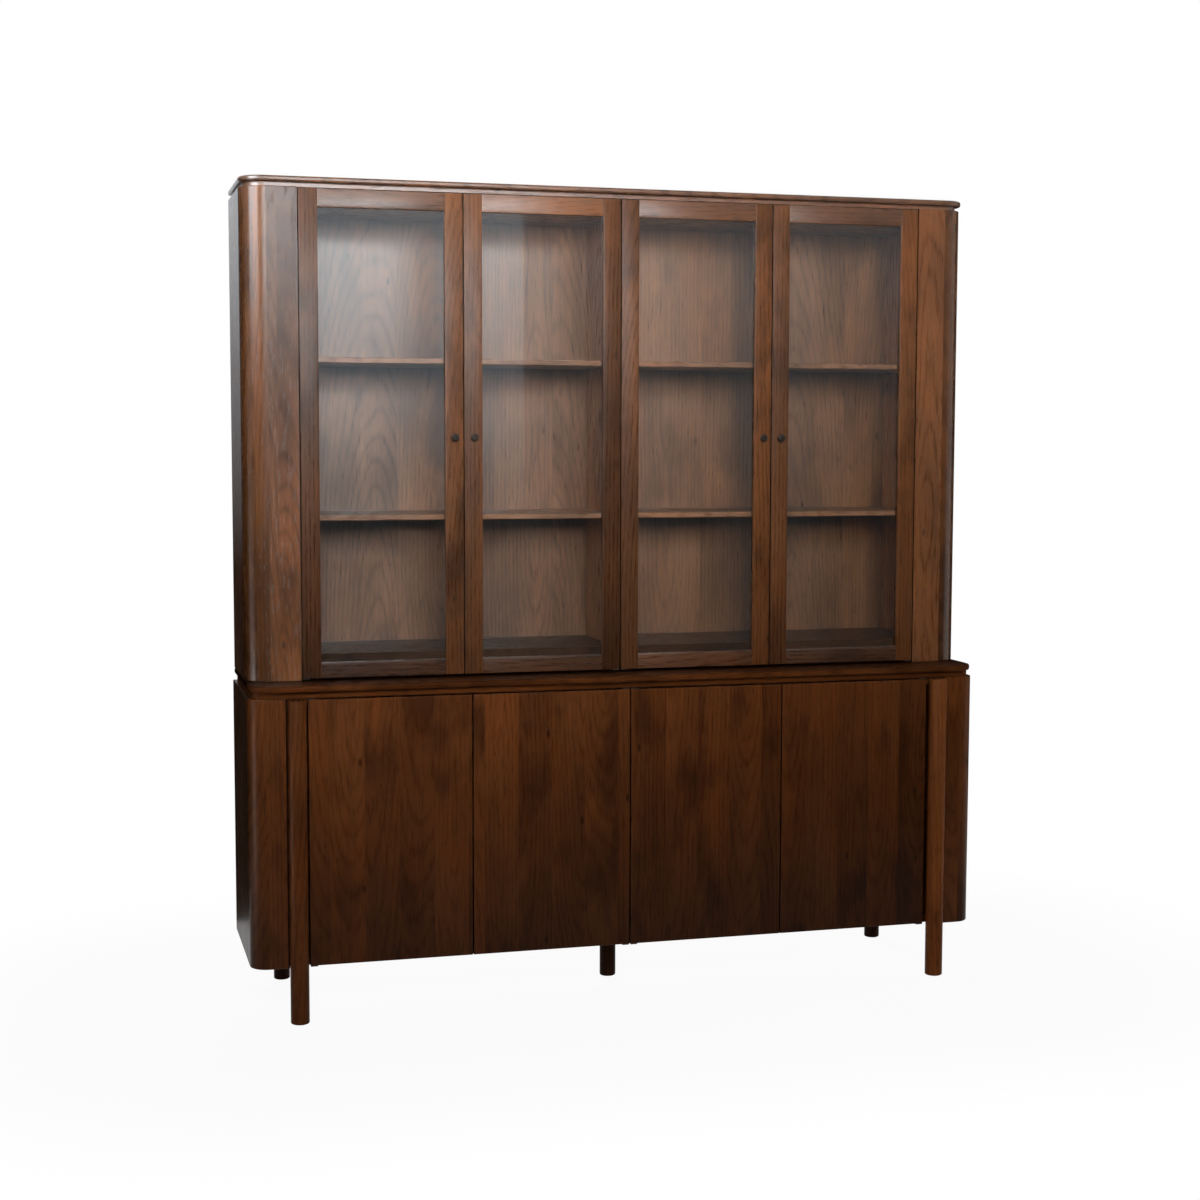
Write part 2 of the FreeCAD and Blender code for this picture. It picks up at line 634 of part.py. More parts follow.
def push_latch(door):
    """Under the cupboard's top board: the door is pushed in to release it."""
    y_tip = door.y_back + LATCH_TO_DOOR
    y0 = door.y_face + FRAME_SETBACK
    half = LATCH_WIDTH / 2
    z_axis = Z_BASE_CEILING - LATCH_HEIGHT / 2
    case = box(door.catch_x - half, door.catch_x + half, y0, y0 + LATCH_LENGTH,
               Z_BASE_CEILING - LATCH_HEIGHT, Z_BASE_CEILING)
    tip = rod((door.catch_x, y_tip, z_axis), (0, 1, 0), LATCH_TIP_RADIUS,
              y0 - y_tip + LATCH_TIP_IN_CASE)
    return case.fuse(tip)


def base_nodes():
    levels = (Z_BASE_BOTTOM, Z_BASE_TOP)
    shape = (BASE_HALF, Y_BASE_FACE, BASE_CORNER_RADIUS)
    nodes = {}
    bolts_through = join_bolt_holes(Z_BASE_CEILING, Z_HUTCH_BOTTOM, BOLT_CLEARANCE)
    nodes["base_top_slab"] = [without(
        slab(BASE_HALF - BASE_SLAB_SIDE_INSET, Y_BASE_FACE - BASE_SLAB_OVERHANG,
             Z_BASE_SLAB, Z_HUTCH_BOTTOM), bolts_through)]
    nodes["base_neck_board"] = [without(
        plate(BASE_HALF - NECK_INSET, Y_BASE_FACE + NECK_INSET, Y_BACK,
              BASE_CORNER_RADIUS - NECK_INSET, Z_BASE_TOP, Z_BASE_SLAB), bolts_through)]
    top_cuts = [cut for door in base_doors for cut in hinge_pockets(door, 1, Z_BASE_TOP)]
    nodes["base_top_board"] = [without(
        body_plate(*shape, Z_BASE_CEILING, Z_BASE_TOP), bolts_through + top_cuts)]
    floor_cuts = [cut for door in base_doors for cut in hinge_pockets(door, 0, Z_BASE_BOTTOM)]
    floor_cuts += [rod_z(x, y, LEG_BOLT_RADIUS + FIT_CLEARANCE, Z_BASE_BOTTOM,
                         Z_BASE_BOTTOM + LEG_BOLT_IN_FLOOR) for x, y in all_leg_places()]
    nodes["base_floor_board"] = [without(
        body_plate(*shape, Z_BASE_BOTTOM, Z_BASE_FLOOR), floor_cuts)]
    for word, side in (("left", LEFT), ("right", RIGHT)):
        nodes["base_side_" + word] = [on_side(side_board(*shape, *levels), side)]
        nodes["base_corner_" + word] = [on_side(corner_stave(*shape, *levels), side)]
        nodes["base_front_panel_" + word] = [on_side(base_front_panel(), side)]
        nodes["front_post_" + word] = [on_side(front_post(), side)]
    nodes["post_backer_strips"] = both_sides([post_backer()])
    nodes["post_dowels"] = both_sides(post_dowel_rods(0.0))
    upright_board = without(upright(BASE_UPRIGHT_X, Y_BASE_FACE, Z_BASE_FLOOR, Z_BASE_CEILING),
                            base_shelf.holes() + post_dowel_rods(FIT_CLEARANCE))
    nodes["base_uprights"] = both_sides([upright_board])
    nodes["base_partition"] = [partition(Y_BASE_FACE, Z_BASE_FLOOR, Z_BASE_CEILING, [base_shelf])]
    nodes["base_back_board"] = [back_board(BASE_HALF, *levels)]
    nodes["base_shelves"] = both_sides([base_shelf.board()])
    for name, places in leg_places().items():
        nodes[name] = [short_leg(x, y) for x, y in places]
    nodes["leg_bolts"] = [rod_z(x, y, LEG_BOLT_RADIUS, Z_BASE_BOTTOM - LEG_BOLT_IN_LEG,
                                Z_BASE_BOTTOM + LEG_BOLT_IN_FLOOR)
                          for x, y in all_leg_places()]
    nodes["push_latches"] = [push_latch(door) for door in base_doors]
    for door in base_doors:
        nodes[door.name] = [slab_door(door)]
    return nodes


def hutch_nodes():
    levels = (Z_HUTCH_BOTTOM, Z_HUTCH_TOP)
    shape = (HUTCH_HALF, Y_HUTCH_FACE, HUTCH_CORNER_RADIUS)
    nodes = {}
    nodes["hutch_top_slab"] = [slab(HUTCH_HALF, Y_HUTCH_FACE - HUTCH_SLAB_OVERHANG,
                                    Z_HUTCH_SLAB, Z_CABINET_TOP)]
    nodes["hutch_neck_board"] = [plate(HUTCH_HALF - NECK_INSET, Y_HUTCH_FACE + NECK_INSET, Y_BACK,
                                       HUTCH_CORNER_RADIUS - NECK_INSET,
                                       Z_HUTCH_TOP, Z_HUTCH_SLAB)]
    nodes["hutch_ceiling_board"] = [body_plate(*shape, Z_HUTCH_CEILING,
                                               Z_HUTCH_CEILING + PANEL_THICKNESS)]
    nodes["hutch_floor_board"] = [body_plate(*shape, Z_HUTCH_FLOOR - PANEL_THICKNESS,
                                             Z_HUTCH_FLOOR)]
    head_cuts = [cut for door in hutch_doors for cut in hinge_pockets(door, 1, Z_HUTCH_TOP)]
    nodes["hutch_head_rails"] = [without(rail, head_cuts) for rail in
                                 rail_pair(Z_HUTCH_CEILING + PANEL_THICKNESS, Z_HUTCH_TOP)]
    plinth_cuts = [cut for door in hutch_doors for cut in hinge_pockets(door, 0, Z_HUTCH_BOTTOM)]
    plinth_cuts += join_bolt_holes(Z_HUTCH_BOTTOM, Z_HUTCH_BOTTOM + JOIN_BOLT_IN_RAIL,
                                   FIT_CLEARANCE)
    nodes["hutch_plinth_rails"] = [without(rail, plinth_cuts) for rail in
                                   rail_pair(Z_HUTCH_BOTTOM, Z_HUTCH_FLOOR - PANEL_THICKNESS)]
    for word, side in (("left", LEFT), ("right", RIGHT)):
        nodes["hutch_side_" + word] = [on_side(side_board(*shape, *levels), side)]
        nodes["hutch_corner_" + word] = [on_side(corner_stave(*shape, *levels), side)]
        nodes["hutch_front_panel_" + word] = [on_side(hutch_front_panel(), side)]
    upright_board = without(upright(HUTCH_UPRIGHT_X, Y_HUTCH_FACE, Z_HUTCH_FLOOR, Z_HUTCH_CEILING),
                            lower_shelf.holes() + upper_shelf.holes())
    nodes["hutch_uprights"] = both_sides([upright_board])
    nodes["hutch_partition"] = [partition(Y_HUTCH_FACE, Z_HUTCH_FLOOR, Z_HUTCH_CEILING,
                                          [lower_shelf, upper_shelf])]
    nodes["hutch_back_board"] = [back_board(HUTCH_HALF, *levels)]
    nodes["hutch_shelves"] = both_sides([lower_shelf.board(), upper_shelf.board()])
    nodes["magnet_catches"] = [magnet_catch(door) for door in hutch_doors]
    for door in hutch_doors:
        nodes[door.name + "_frame"] = framed_door(door)
        nodes[door.name + "_glass"] = [door_glass(door)]
        nodes[door.name + "_knob"] = [knob(door)]
    return nodes


def shared_nodes():
    doors = base_doors + hutch_doors
    shelves = (base_shelf, lower_shelf, upper_shelf)
    return {
        "hinge_plates": [shape for door in doors for shape in hinge_plates(door)],
        "hinge_pivot_pins": [shape for door in doors for shape in pivot_pins(door)],
        "hinge_plate_screws": [shape for door in doors for shape in hinge_screws(door)],
        "shelf_pins": [pin for shelf in shelves for pin in both_sides(shelf.pins())],
        "hutch_joining_bolts": join_bolts(),
    }


def write_nodes():
    os.makedirs("parts", exist_ok=True)
    nodes = {**base_nodes(), **hutch_nodes(), **shared_nodes()}
    for name, solids in nodes.items():
        for shape in solids:
            assert shape.isValid() and len(shape.Solids) == 1, name
        whole = solids[0] if len(solids) == 1 else Part.makeCompound(solids)
        whole.exportStep(os.path.join("parts", name + ".step"))
    print(len(nodes), "nodes,", sum(len(solids) for solids in nodes.values()), "solids")


write_nodes()
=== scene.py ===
"""A dresser with a glazed hutch: its joinery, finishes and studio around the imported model."""
import math

import bmesh
import bpy
from mathutils import Matrix, Vector


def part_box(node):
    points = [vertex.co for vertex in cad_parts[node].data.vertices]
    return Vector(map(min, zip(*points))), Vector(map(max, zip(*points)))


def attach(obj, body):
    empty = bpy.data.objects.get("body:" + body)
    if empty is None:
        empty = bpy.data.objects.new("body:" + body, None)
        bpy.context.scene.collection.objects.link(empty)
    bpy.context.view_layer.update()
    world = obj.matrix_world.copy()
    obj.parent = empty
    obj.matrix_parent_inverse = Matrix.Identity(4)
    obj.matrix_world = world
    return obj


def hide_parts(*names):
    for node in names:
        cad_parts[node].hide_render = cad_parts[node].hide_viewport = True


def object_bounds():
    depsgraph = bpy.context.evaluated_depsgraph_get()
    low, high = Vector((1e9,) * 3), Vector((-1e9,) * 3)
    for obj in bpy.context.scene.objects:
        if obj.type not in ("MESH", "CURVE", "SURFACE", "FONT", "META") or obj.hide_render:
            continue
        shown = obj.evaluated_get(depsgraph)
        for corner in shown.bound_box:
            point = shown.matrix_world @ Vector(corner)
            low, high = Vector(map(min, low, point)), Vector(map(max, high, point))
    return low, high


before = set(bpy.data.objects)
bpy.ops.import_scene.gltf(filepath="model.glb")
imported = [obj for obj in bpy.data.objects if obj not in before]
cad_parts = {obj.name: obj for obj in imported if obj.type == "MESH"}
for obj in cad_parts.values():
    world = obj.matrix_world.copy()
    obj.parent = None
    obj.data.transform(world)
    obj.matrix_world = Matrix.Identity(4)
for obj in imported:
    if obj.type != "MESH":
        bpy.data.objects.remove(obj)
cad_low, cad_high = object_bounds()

MM = 0.001
AXES = {"x": Vector((1, 0, 0)), "y": Vector((0, 1, 0)), "z": Vector((0, 0, 1))}
RIGHT_ANGLE = math.radians(90)
SHARP = math.radians(30)     # faces that meet at more than this have an arris between them
NEAR = 1e-5
WHITE = (1.0, 1.0, 1.0, 1.0)
DOOR_PLACES = ["outer_left", "inner_left", "inner_right", "outer_right"]


# ---------------------------------------------------------------- how finishes are written

class Wire:
    """An output of a finish. Arithmetic on it adds Math nodes."""

    def __init__(self, finish, socket):
        self.finish = finish
        self.socket = socket

    def output(self, key):
        return Wire(self.finish, pick_socket(self.socket.node.outputs, key))

    def maths(self, operation, *values):
        return self.finish.add("ShaderNodeMath", {"operation": operation}, dict(enumerate(values)))

    def __add__(self, other):
        return self.maths("ADD", self, other)

    def __sub__(self, other):
        return self.maths("SUBTRACT", self, other)

    def __rsub__(self, other):
        return self.maths("SUBTRACT", other, self)

    def __mul__(self, other):
        return self.maths("MULTIPLY", self, other)

    def __truediv__(self, other):
        return self.maths("DIVIDE", self, other)

    def __pow__(self, other):
        return self.maths("POWER", self, other)

    def floor(self):
        return self.maths("FLOOR", self)

    def sine(self):
        return self.maths("SINE", self)

    def unsigned(self):
        return self.maths("ABSOLUTE", self)

    def or_more(self, other):
        return self.maths("MAXIMUM", self, other)

    def step(self, start, end):
        """0 below start, 1 above end, and smooth between."""
        inputs = {"Value": self, "From Min": start, "From Max": end}
        settings = {"interpolation_type": "SMOOTHSTEP"}
        return self.finish.add("ShaderNodeMapRange", settings, inputs)

    __radd__ = __add__


def pick_socket(sockets, key):
    """A node's socket by its number or its identifier."""
    if isinstance(key, int):
        return sockets[key]
    return next(socket for socket in sockets if socket.identifier == key)


class Finish:
    """A material's nodes. A world's nodes are laid out the same way."""

    def __init__(self, owner):
        self.owner = owner
        owner.use_nodes = True
        self.tree = owner.node_tree
        self.tree.nodes.clear()

    def add(self, kind, settings=None, inputs=None):
        node = self.tree.nodes.new(kind)
        for key, value in (settings or {}).items():
            if key == "stops":
                set_stops(node.color_ramp, value)
            else:
                setattr(node, key, value)
        for key, value in (inputs or {}).items():
            socket = pick_socket(node.inputs, key)
            if isinstance(value, Wire):
                self.tree.links.new(value.socket, socket)
            else:
                socket.default_value = value
        return Wire(self, node.outputs[0] if node.outputs else None)

    def corner(self):
        """The point in the piece's own coordinates."""
        return self.add("ShaderNodeTexCoord").output("Object")

    def parts(self, vector):
        """The X of a vector or colour, whose other parts are its outputs Y and Z."""
        return self.add("ShaderNodeSeparateXYZ", {}, {"Vector": vector})

    def place(self, x, y, z):
        return self.add("ShaderNodeCombineXYZ", {}, {"X": x, "Y": y, "Z": z})

    def scale(self, vector, factor):
        return self.add("ShaderNodeVectorMath", {"operation": "SCALE"}, {0: vector, "Scale": factor})

    def mix(self, factor, first, second, blend="MIX"):
        """A colour between two colours."""
        settings = {"data_type": "RGBA", "blend_type": blend}
        inputs = {"Factor_Float": factor, "A_Color": first, "B_Color": second}
        return self.add("ShaderNodeMix", settings, inputs).output("Result_Color")

    def noise(self, place, detail=2.0, rough=0.5):
        inputs = {"Vector": place, "Scale": 1.0, "Detail": detail, "Roughness": rough}
        return self.add("ShaderNodeTexNoise", {}, inputs)

    def bump(self, height, depth, strength):
        return self.add("ShaderNodeBump", {}, {"Strength": strength, "Distance": depth, "Height": height})

    def finish_with(self, surface):
        kind = "ShaderNodeOutputWorld"
        if isinstance(self.owner, bpy.types.Material):
            kind = "ShaderNodeOutputMaterial"
        self.add(kind, {}, {"Surface": surface})
        return self.owner


def new_finish(name):
    return Finish(bpy.data.materials.new(name))


def set_stops(ramp, stops):
    """Gives a colour ramp its stops, each a place and a colour."""
    while len(ramp.elements) < len(stops):
        ramp.elements.new(0.5)
    for element, (position, colour) in zip(ramp.elements, stops):
        element.position = position
        element.color = colour


def tone(red, green, blue):
    """A colour on the 0 to 255 scale, as the linear colour that a shader takes."""
    def linear(level):
        level = level / 255
        if level <= 0.04045:
            return level / 12.92
        return ((level + 0.055) / 1.055) ** 2.4
    return (linear(red), linear(green), linear(blue), 1.0)


def scaled(colour, factor):
    """A linear colour made darker or lighter."""
    return tuple(part * factor for part in colour[:3]) + (1.0,)


# ---------------------------------------------------------------- wood

GRAIN = {                    # the axes across the board, through it and along the grain
    "upright": "xyz",
    "upright_side": "yxz",
    "level": "zyx",
    "flat": "yzx",
}

# where staves lie on a board, and where in the log they were cut
LANE_START = 10.0            # metres, which keeps every lane's number above zero
LANE_SHIFT = 37 * MM         # for each unit of the seed
BOARD_STEP = 7.31            # between the draws of one board and the next in a joined piece
LOG_LENGTH = 9.0
LOG_DEPTH = 5.0
HEART_RISE = 0.09            # metres between the highest and lowest places of the log's heart
HEART_ASIDE = 1.1            # widths of the stave between its places farthest to each side
HEART_TILT = 0.30            # between its steepest slopes either way against the stave
HEART_LEVEL = 1.0            # metres along the grain, where a tilted heart crosses its mean place
HEART_WANDER = 0.085         # metres between the ends of its bends
ROUND_HEART = 0.00002        # square metres, which keep the ring at the heart from closing to a point
RING_WIDTH = 11 * MM
RING_WARP = 6.0              # radians
WARP_SHIFT = 7.0             # turns of the warp between the staves farthest to each side

# how fine each part of the figure is, in turns per metre across, through and along the board
WARP = (5.0, 3.0, 1.6)
FINE_GRAIN = (260.0, 260.0, 18.0)
STREAKS = (60.0, 40.0, 2.0)
CLOUDS = (8.0, 7.0, 3.4)
PORES = (210.0, 210.0, 24.0)
SMOKE = (8.0, 9.0, 3.6)
YELLOWING = (9.0, 9.0, 2.4)

# about one cell in five has a knot
KNOT_CELLS = (9.0, 4.0)      # per metre across and along the board
KNOT_CHANCE = (0.78, 0.80)   # a cell's draws from 0 to 1, where no knot ends and a full one starts
KNOT_SIZE = (0.015, 0.065)   # how far from a knot's middle it is full and where it ends, in cells

# how far each part of the figure moves the tone along the ramp from dark to light
MEAN_TONE = 0.54
LATEWOOD_DEPTH = 0.18
STREAK_DEPTH = 0.45
FINE_DEPTH = 0.60
CLOUD_DEPTH = 0.85
STAVE_DEPTH = 0.34

# tones as shares of the body colour
DARKEST = 0.36
LIGHTEST = 1.75
SMOKE_TONE = 0.34
PORE_TONE = 0.22
KNOT_TONE = 0.16
GAP_SHADE_TONE = 0.12             # painted shade on the hidden edges of a leaf and beside the posts, as dark as the gaps
HUTCH_SHADOW_TONE = 0.05
YELLOW_SHIFT = (1.12, 0.94, 0.66, 1.0)

# how much of the colour underneath each of these covers, at most
YELLOW_COVER = 0.5
PORE_COVER = 0.45
KNOT_COVER = 0.8
HUTCH_SHADOW_COVER = 0.9

HUTCH_GLOSS = 0.34
BASE_GLOSS = 0.05
PORE_DEPTH = 0.4 * MM


class Timber:
    """The place of a point in its stave, and the stave's place in the log that it was cut from."""

    def __init__(self, finish, grain, stave, seed):
        self.finish = finish
        self.seed = seed
        self.stave = stave
        spot = finish.parts(finish.corner())
        self.by_axis = {axis: spot.output(axis.upper()) for axis in "xyz"}
        self.across, through, self.along = (self.by_axis[axis] for axis in GRAIN[grain])
        board = finish.add("ShaderNodeAttribute", {"attribute_name": "board"}).output("Fac")
        self.lane_place = (self.across + (seed * LANE_SHIFT + LANE_START)) / stave
        self.lane = self.lane_place.floor()
        draw = finish.add("ShaderNodeTexWhiteNoise", {"noise_dimensions": "1D"},
                          {"W": self.lane + board * BOARD_STEP + seed}).output("Color")
        chance = finish.parts(draw)
        self.lengthwise, self.depthwise, self.sideways = (chance.output(axis) for axis in "XYZ")
        self.run = self.along + self.lengthwise * LOG_LENGTH
        self.depth = through + self.depthwise * LOG_DEPTH + seed

    def noise(self, fineness, detail=3.0, rough=0.5, deeper=None):
        """Noise with its own fineness each way of the board."""
        across, through, along = fineness
        depth = self.depth * through
        if deeper is not None:
            depth = depth + deeper
        place = self.finish.place(self.across * across, depth, self.run * along)
        return self.finish.noise(place, detail, rough)

    def rings(self):
        """A wave from 0 to 1 over each growth ring, as this stave cuts it."""
        across, through, along = WARP
        place = self.finish.place(self.across * across + self.sideways * WARP_SHIFT,
                                  self.depth * through, self.run * along)
        warp = self.finish.noise(place, detail=2.0, rough=0.45)
        beside = (self.lane_place - self.lane - 0.5 + (self.sideways - 0.5) * HEART_ASIDE) * self.stave
        slope = (self.lengthwise - 0.5) * HEART_TILT
        below = (self.depthwise - 0.5) * HEART_RISE + (self.along - HEART_LEVEL) * slope
        below = below + (warp - 0.5) * HEART_WANDER
        from_heart = (beside * beside + below * below + ROUND_HEART) ** 0.5
        return (from_heart * (2 * math.pi / RING_WIDTH) + warp * RING_WARP).sine() * 0.5 + 0.5

    def knots(self):
        """1 in a few small dark knots."""
        across, along = KNOT_CELLS
        place = self.finish.place(self.across * across + self.seed, self.run * along, 0.0)
        knot = self.finish.add("ShaderNodeTexVoronoi", {"voronoi_dimensions": "2D"},
                               {"Vector": place, "Scale": 1.0})
        rare = self.finish.parts(knot.output("Color")).step(*KNOT_CHANCE)
        return (1.0 - knot.step(*KNOT_SIZE)) * rare


def wood(name, body, grain="upright", stave=0.09, seed=0.0, contrast=1.0, smoke=0.6,
         gloss=HUTCH_GLOSS, rough=0.29, stave_contrast=1.0, shading=None, leaf=None, hutch_shadow=None,
         groove_shade=None):
    """Stained solid wood, glued up from staves, each cut from its own place in a log.

    shading is painted shade and light that changes with height: two levels and the strength at each.
    leaf is the box of a door or panel whose edges get painted shade, as dark as the gaps between leaves.
    The hutch's painted shadow takes two places from front to back, between which the top of a slab turns
    dark where the hutch shades it.
    The groove's painted shade takes two distances from the middle of the cabinet, inside which a panel is
    darkened as a groove beside a post would be shaded.
    """
    finish = new_finish(name)
    timber = Timber(finish, grain, stave, seed)
    rings = timber.rings()
    fine = timber.noise(FINE_GRAIN, rough=0.65)
    streak = timber.noise(STREAKS)
    cloud = timber.noise(CLOUDS)
    pores = timber.noise(PORES, detail=2.0).step(0.57, 0.70)
    knots = timber.knots()

    level = MEAN_TONE - rings ** 4 * (LATEWOOD_DEPTH * contrast)
    level = level + (streak - 0.5) * (STREAK_DEPTH * contrast)
    level = level + (fine - 0.5) * (FINE_DEPTH * contrast)
    level = level + (cloud - 0.5) * (CLOUD_DEPTH * contrast)
    level = level + (timber.depthwise - 0.5) * (STAVE_DEPTH * stave_contrast)
    stops = [(0.0, scaled(body, DARKEST)), (0.5, body), (1.0, scaled(body, LIGHTEST))]
    colour = finish.add("ShaderNodeValToRGB", {"stops": stops}, {"Fac": level})

    # smoky patches and a shift between red and yellow brown
    smoky = timber.noise(SMOKE, rough=0.55, deeper=4.0).step(0.50, 0.70)
    colour = finish.mix(smoky * smoke, colour, scaled(body, SMOKE_TONE))
    yellow = timber.noise(YELLOWING, deeper=9.0).step(0.4, 0.68)
    colour = finish.mix(yellow * YELLOW_COVER, colour, YELLOW_SHIFT, "MULTIPLY")
    colour = finish.mix(pores * PORE_COVER, colour, scaled(body, PORE_TONE))
    colour = finish.mix(knots * KNOT_COVER, colour, scaled(body, KNOT_TONE))
    if shading:
        colour = shade_by_height(finish, colour, timber.by_axis["z"], shading)
    if leaf:
        colour = finish.mix(leaf_edges(timber.by_axis, leaf), colour, scaled(body, GAP_SHADE_TONE))
    # Painted shade: a dark line on the panel beside the post, as the shade of a groove there.
    if groove_shade:
        in_groove = 1.0 - timber.by_axis["x"].unsigned().step(*groove_shade)
        colour = finish.mix(in_groove, colour, scaled(body, GAP_SHADE_TONE))
    # Painted shadow: the top of the slab darkens towards the hutch, which shades it.
    if hutch_shadow:
        covered = timber.by_axis["y"].step(*hutch_shadow)
        colour = finish.mix(covered * HUTCH_SHADOW_COVER, colour, scaled(body, HUTCH_SHADOW_TONE))

    roughness = rough + (fine - 0.5) * 0.14 + pores * 0.12 - (rings - 0.5) * 0.03
    height = fine * 0.6 + streak * 0.3 - pores * 0.8 - knots * 0.5
    surface = finish.add("ShaderNodeBsdfPrincipled", {}, {
        "Base Color": colour, "Roughness": roughness, "Specular IOR Level": gloss,
        "Normal": finish.bump(height, depth=PORE_DEPTH, strength=0.16),
    })
    return finish.finish_with(surface)


# Painted shade and light: scales the colour from one strength at a unit's foot to another at its head.
def shade_by_height(finish, colour, height, shading):
    foot, head, at_foot, at_head = shading
    inputs = {"Value": height, "From Min": foot, "From Max": head, "To Min": at_foot, "To Max": at_head}
    return finish.scale(colour, finish.add("ShaderNodeMapRange", {}, inputs))


GAP_SHADE_BAND = (0.9 * MM, 0.3 * MM)       # in from a leaf's edge, where the painted shade starts and is full
ARRIS_BAND = (0.5 * MM, 1.4 * MM)      # the same, back from its face


def leaf_edges(by_axis, leaf):
    """1 on the four edges of an upright leaf, behind its front arris, where painted shade goes."""
    low, high = leaf
    middle = (low + high) / 2
    reach = (high - low) / 2
    start, full = GAP_SHADE_BAND
    aside = (by_axis["x"] - middle.x).unsigned()
    above = (by_axis["z"] - middle.z).unsigned()
    at_side = aside.step(reach.x - start, reach.x - full)
    at_end = above.step(reach.z - start, reach.z - full)
    behind = by_axis["y"].step(low.y + ARRIS_BAND[0], low.y + ARRIS_BAND[1])
    return at_side.or_more(at_end) * behind


# ---------------------------------------------------------------- metal, plastic and glass

def metal(name, body, rough, metallic):
    """Blackened or plated metal with fine handling marks."""
    finish = new_finish(name)
    corner = finish.corner()
    grain = finish.noise(finish.scale(corner, 260.0), detail=3.0, rough=0.6)
    cloud = finish.noise(finish.scale(corner, 70.0), detail=2.0, rough=0.5)
    colour = finish.mix(cloud.step(0.3, 0.7), scaled(body, 0.75), scaled(body, 1.35))
    surface = finish.add("ShaderNodeBsdfPrincipled", {}, {
        "Base Color": colour, "Roughness": rough + (grain - 0.5) * 0.2,
        "Metallic": metallic, "Normal": finish.bump(grain, depth=0.1 * MM, strength=0.1),
    })
    return finish.finish_with(surface)


def plastic(name, body):
    """Moulded plastic with a fine spark texture."""
    finish = new_finish(name)
    grain = finish.noise(finish.scale(finish.corner(), 900.0), detail=2.0, rough=0.6)
    colour = finish.mix(grain.step(0.3, 0.7), scaled(body, 0.9), scaled(body, 1.1))
    surface = finish.add("ShaderNodeBsdfPrincipled", {}, {
        "Base Color": colour, "Roughness": 0.5 + (grain - 0.5) * 0.2,
        "Normal": finish.bump(grain, depth=0.1 * MM, strength=0.2),
    })
    return finish.finish_with(surface)


SQUARE_ON = 0.034            # what the pane mirrors of a ray that meets it square on


def glass_pane(name):
    """Clear float glass: a mirror share by angle, and a gloss that a film of dust dulls a little."""
    finish = new_finish(name)
    film = finish.noise(finish.scale(finish.corner(), 3.0), detail=3.0, rough=0.5)
    clear = finish.add("ShaderNodeBsdfTransparent", {}, {"Color": (0.94, 0.955, 0.96, 1.0)})
    shine = finish.add("ShaderNodeBsdfPrincipled", {}, {
        "Base Color": (0.95, 0.97, 1.0, 1.0), "Metallic": 1.0, "Roughness": 0.015 + film * 0.02,
    })
    facing = finish.add("ShaderNodeLayerWeight", {}, {"Blend": 0.5}).output("Facing")
    share = SQUARE_ON + facing ** 5 * (1.0 - SQUARE_ON)
    surface = finish.add("ShaderNodeMixShader", {}, {0: share, 1: clear, 2: shine})
    return finish.finish_with(surface)


# ---------------------------------------------------------------- the dresser's own finishes

def shade(node, at_foot, at_head):
    """The levels of a node's foot and head, and the strength of the painted shade and light at each."""
    low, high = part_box(node)
    return (low.z, high.z, at_foot, at_head)


HUTCH_BROWN = tone(90, 54, 28)
CORNER_BROWN = tone(90, 53, 24)
INSIDE_BROWN = tone(103, 69, 44)
BASE_BROWN = tone(74, 40, 17)
SIDE_BROWN = tone(67, 47, 34)

# Painted shade and light: each unit darker at its foot and lighter at its head, the left hutch panel the
# other way.
HUTCH_SHADE = shade("hutch_side_left", 0.72, 1.15)
PANEL_SHADE = shade("hutch_side_left", 1.25, 0.8)
CORNER_SHADE = shade("hutch_side_left", 0.62, 1.15)
BASE_SHADE = shade("base_side_left", 0.62, 1.25)

PANEL_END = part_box("base_front_panel_right")[0].x
# Painted shade: a line on the front panels beside the posts, as of a groove.
POST_GROOVE_SHADE = (PANEL_END + 4 * MM, PANEL_END + 5 * MM)
# Painted shadow: where the top of the slab darkens under the front of the hutch.
UNDER_HUTCH = (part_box("base_top_slab")[0].y + 10 * MM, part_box("hutch_front_panel_left")[0].y)

WHOLE = 0.5                  # a stave wide enough to make a narrow piece from one board
DOOR_TONE = 1.06             # of the first cupboard door
DOOR_TONE_STEP = -0.05       # from one door to the next
DOOR_SEED = 21.3
DOOR_SEED_STEP = 3.7

stile_wood = wood("stile_wood", scaled(HUTCH_BROWN, 0.84), "upright", stave=WHOLE, seed=29.0,
                  contrast=1.2, smoke=0.85, gloss=0.22, stave_contrast=2.2, shading=HUTCH_SHADE)
rail_wood = wood("rail_wood", scaled(HUTCH_BROWN, 0.72), "level", stave=WHOLE, seed=22.2, contrast=1.2,
                 smoke=0.85, gloss=0.5, stave_contrast=1.8, shading=HUTCH_SHADE)
# Painted shade: the frames' outer faces, which show in the gaps between doors, are near black.
door_gap_shade = wood("frame_gap_shade_wood", scaled(HUTCH_BROWN, GAP_SHADE_TONE), "upright", stave=WHOLE, seed=34.0,
                 gloss=0.03)
post_wood = wood("post_wood", scaled(BASE_BROWN, 1.55), "upright", stave=WHOLE, seed=5.8, smoke=0.4,
                 gloss=0.03, rough=0.28, stave_contrast=1.8)
knob_metal = metal("blackened_brass", tone(38, 30, 25), rough=0.42, metallic=0.75)


def dress(finish, *names):
    """Gives CAD nodes a finish."""
    for name in names:
        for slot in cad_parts[name].material_slots:
            slot.material = finish


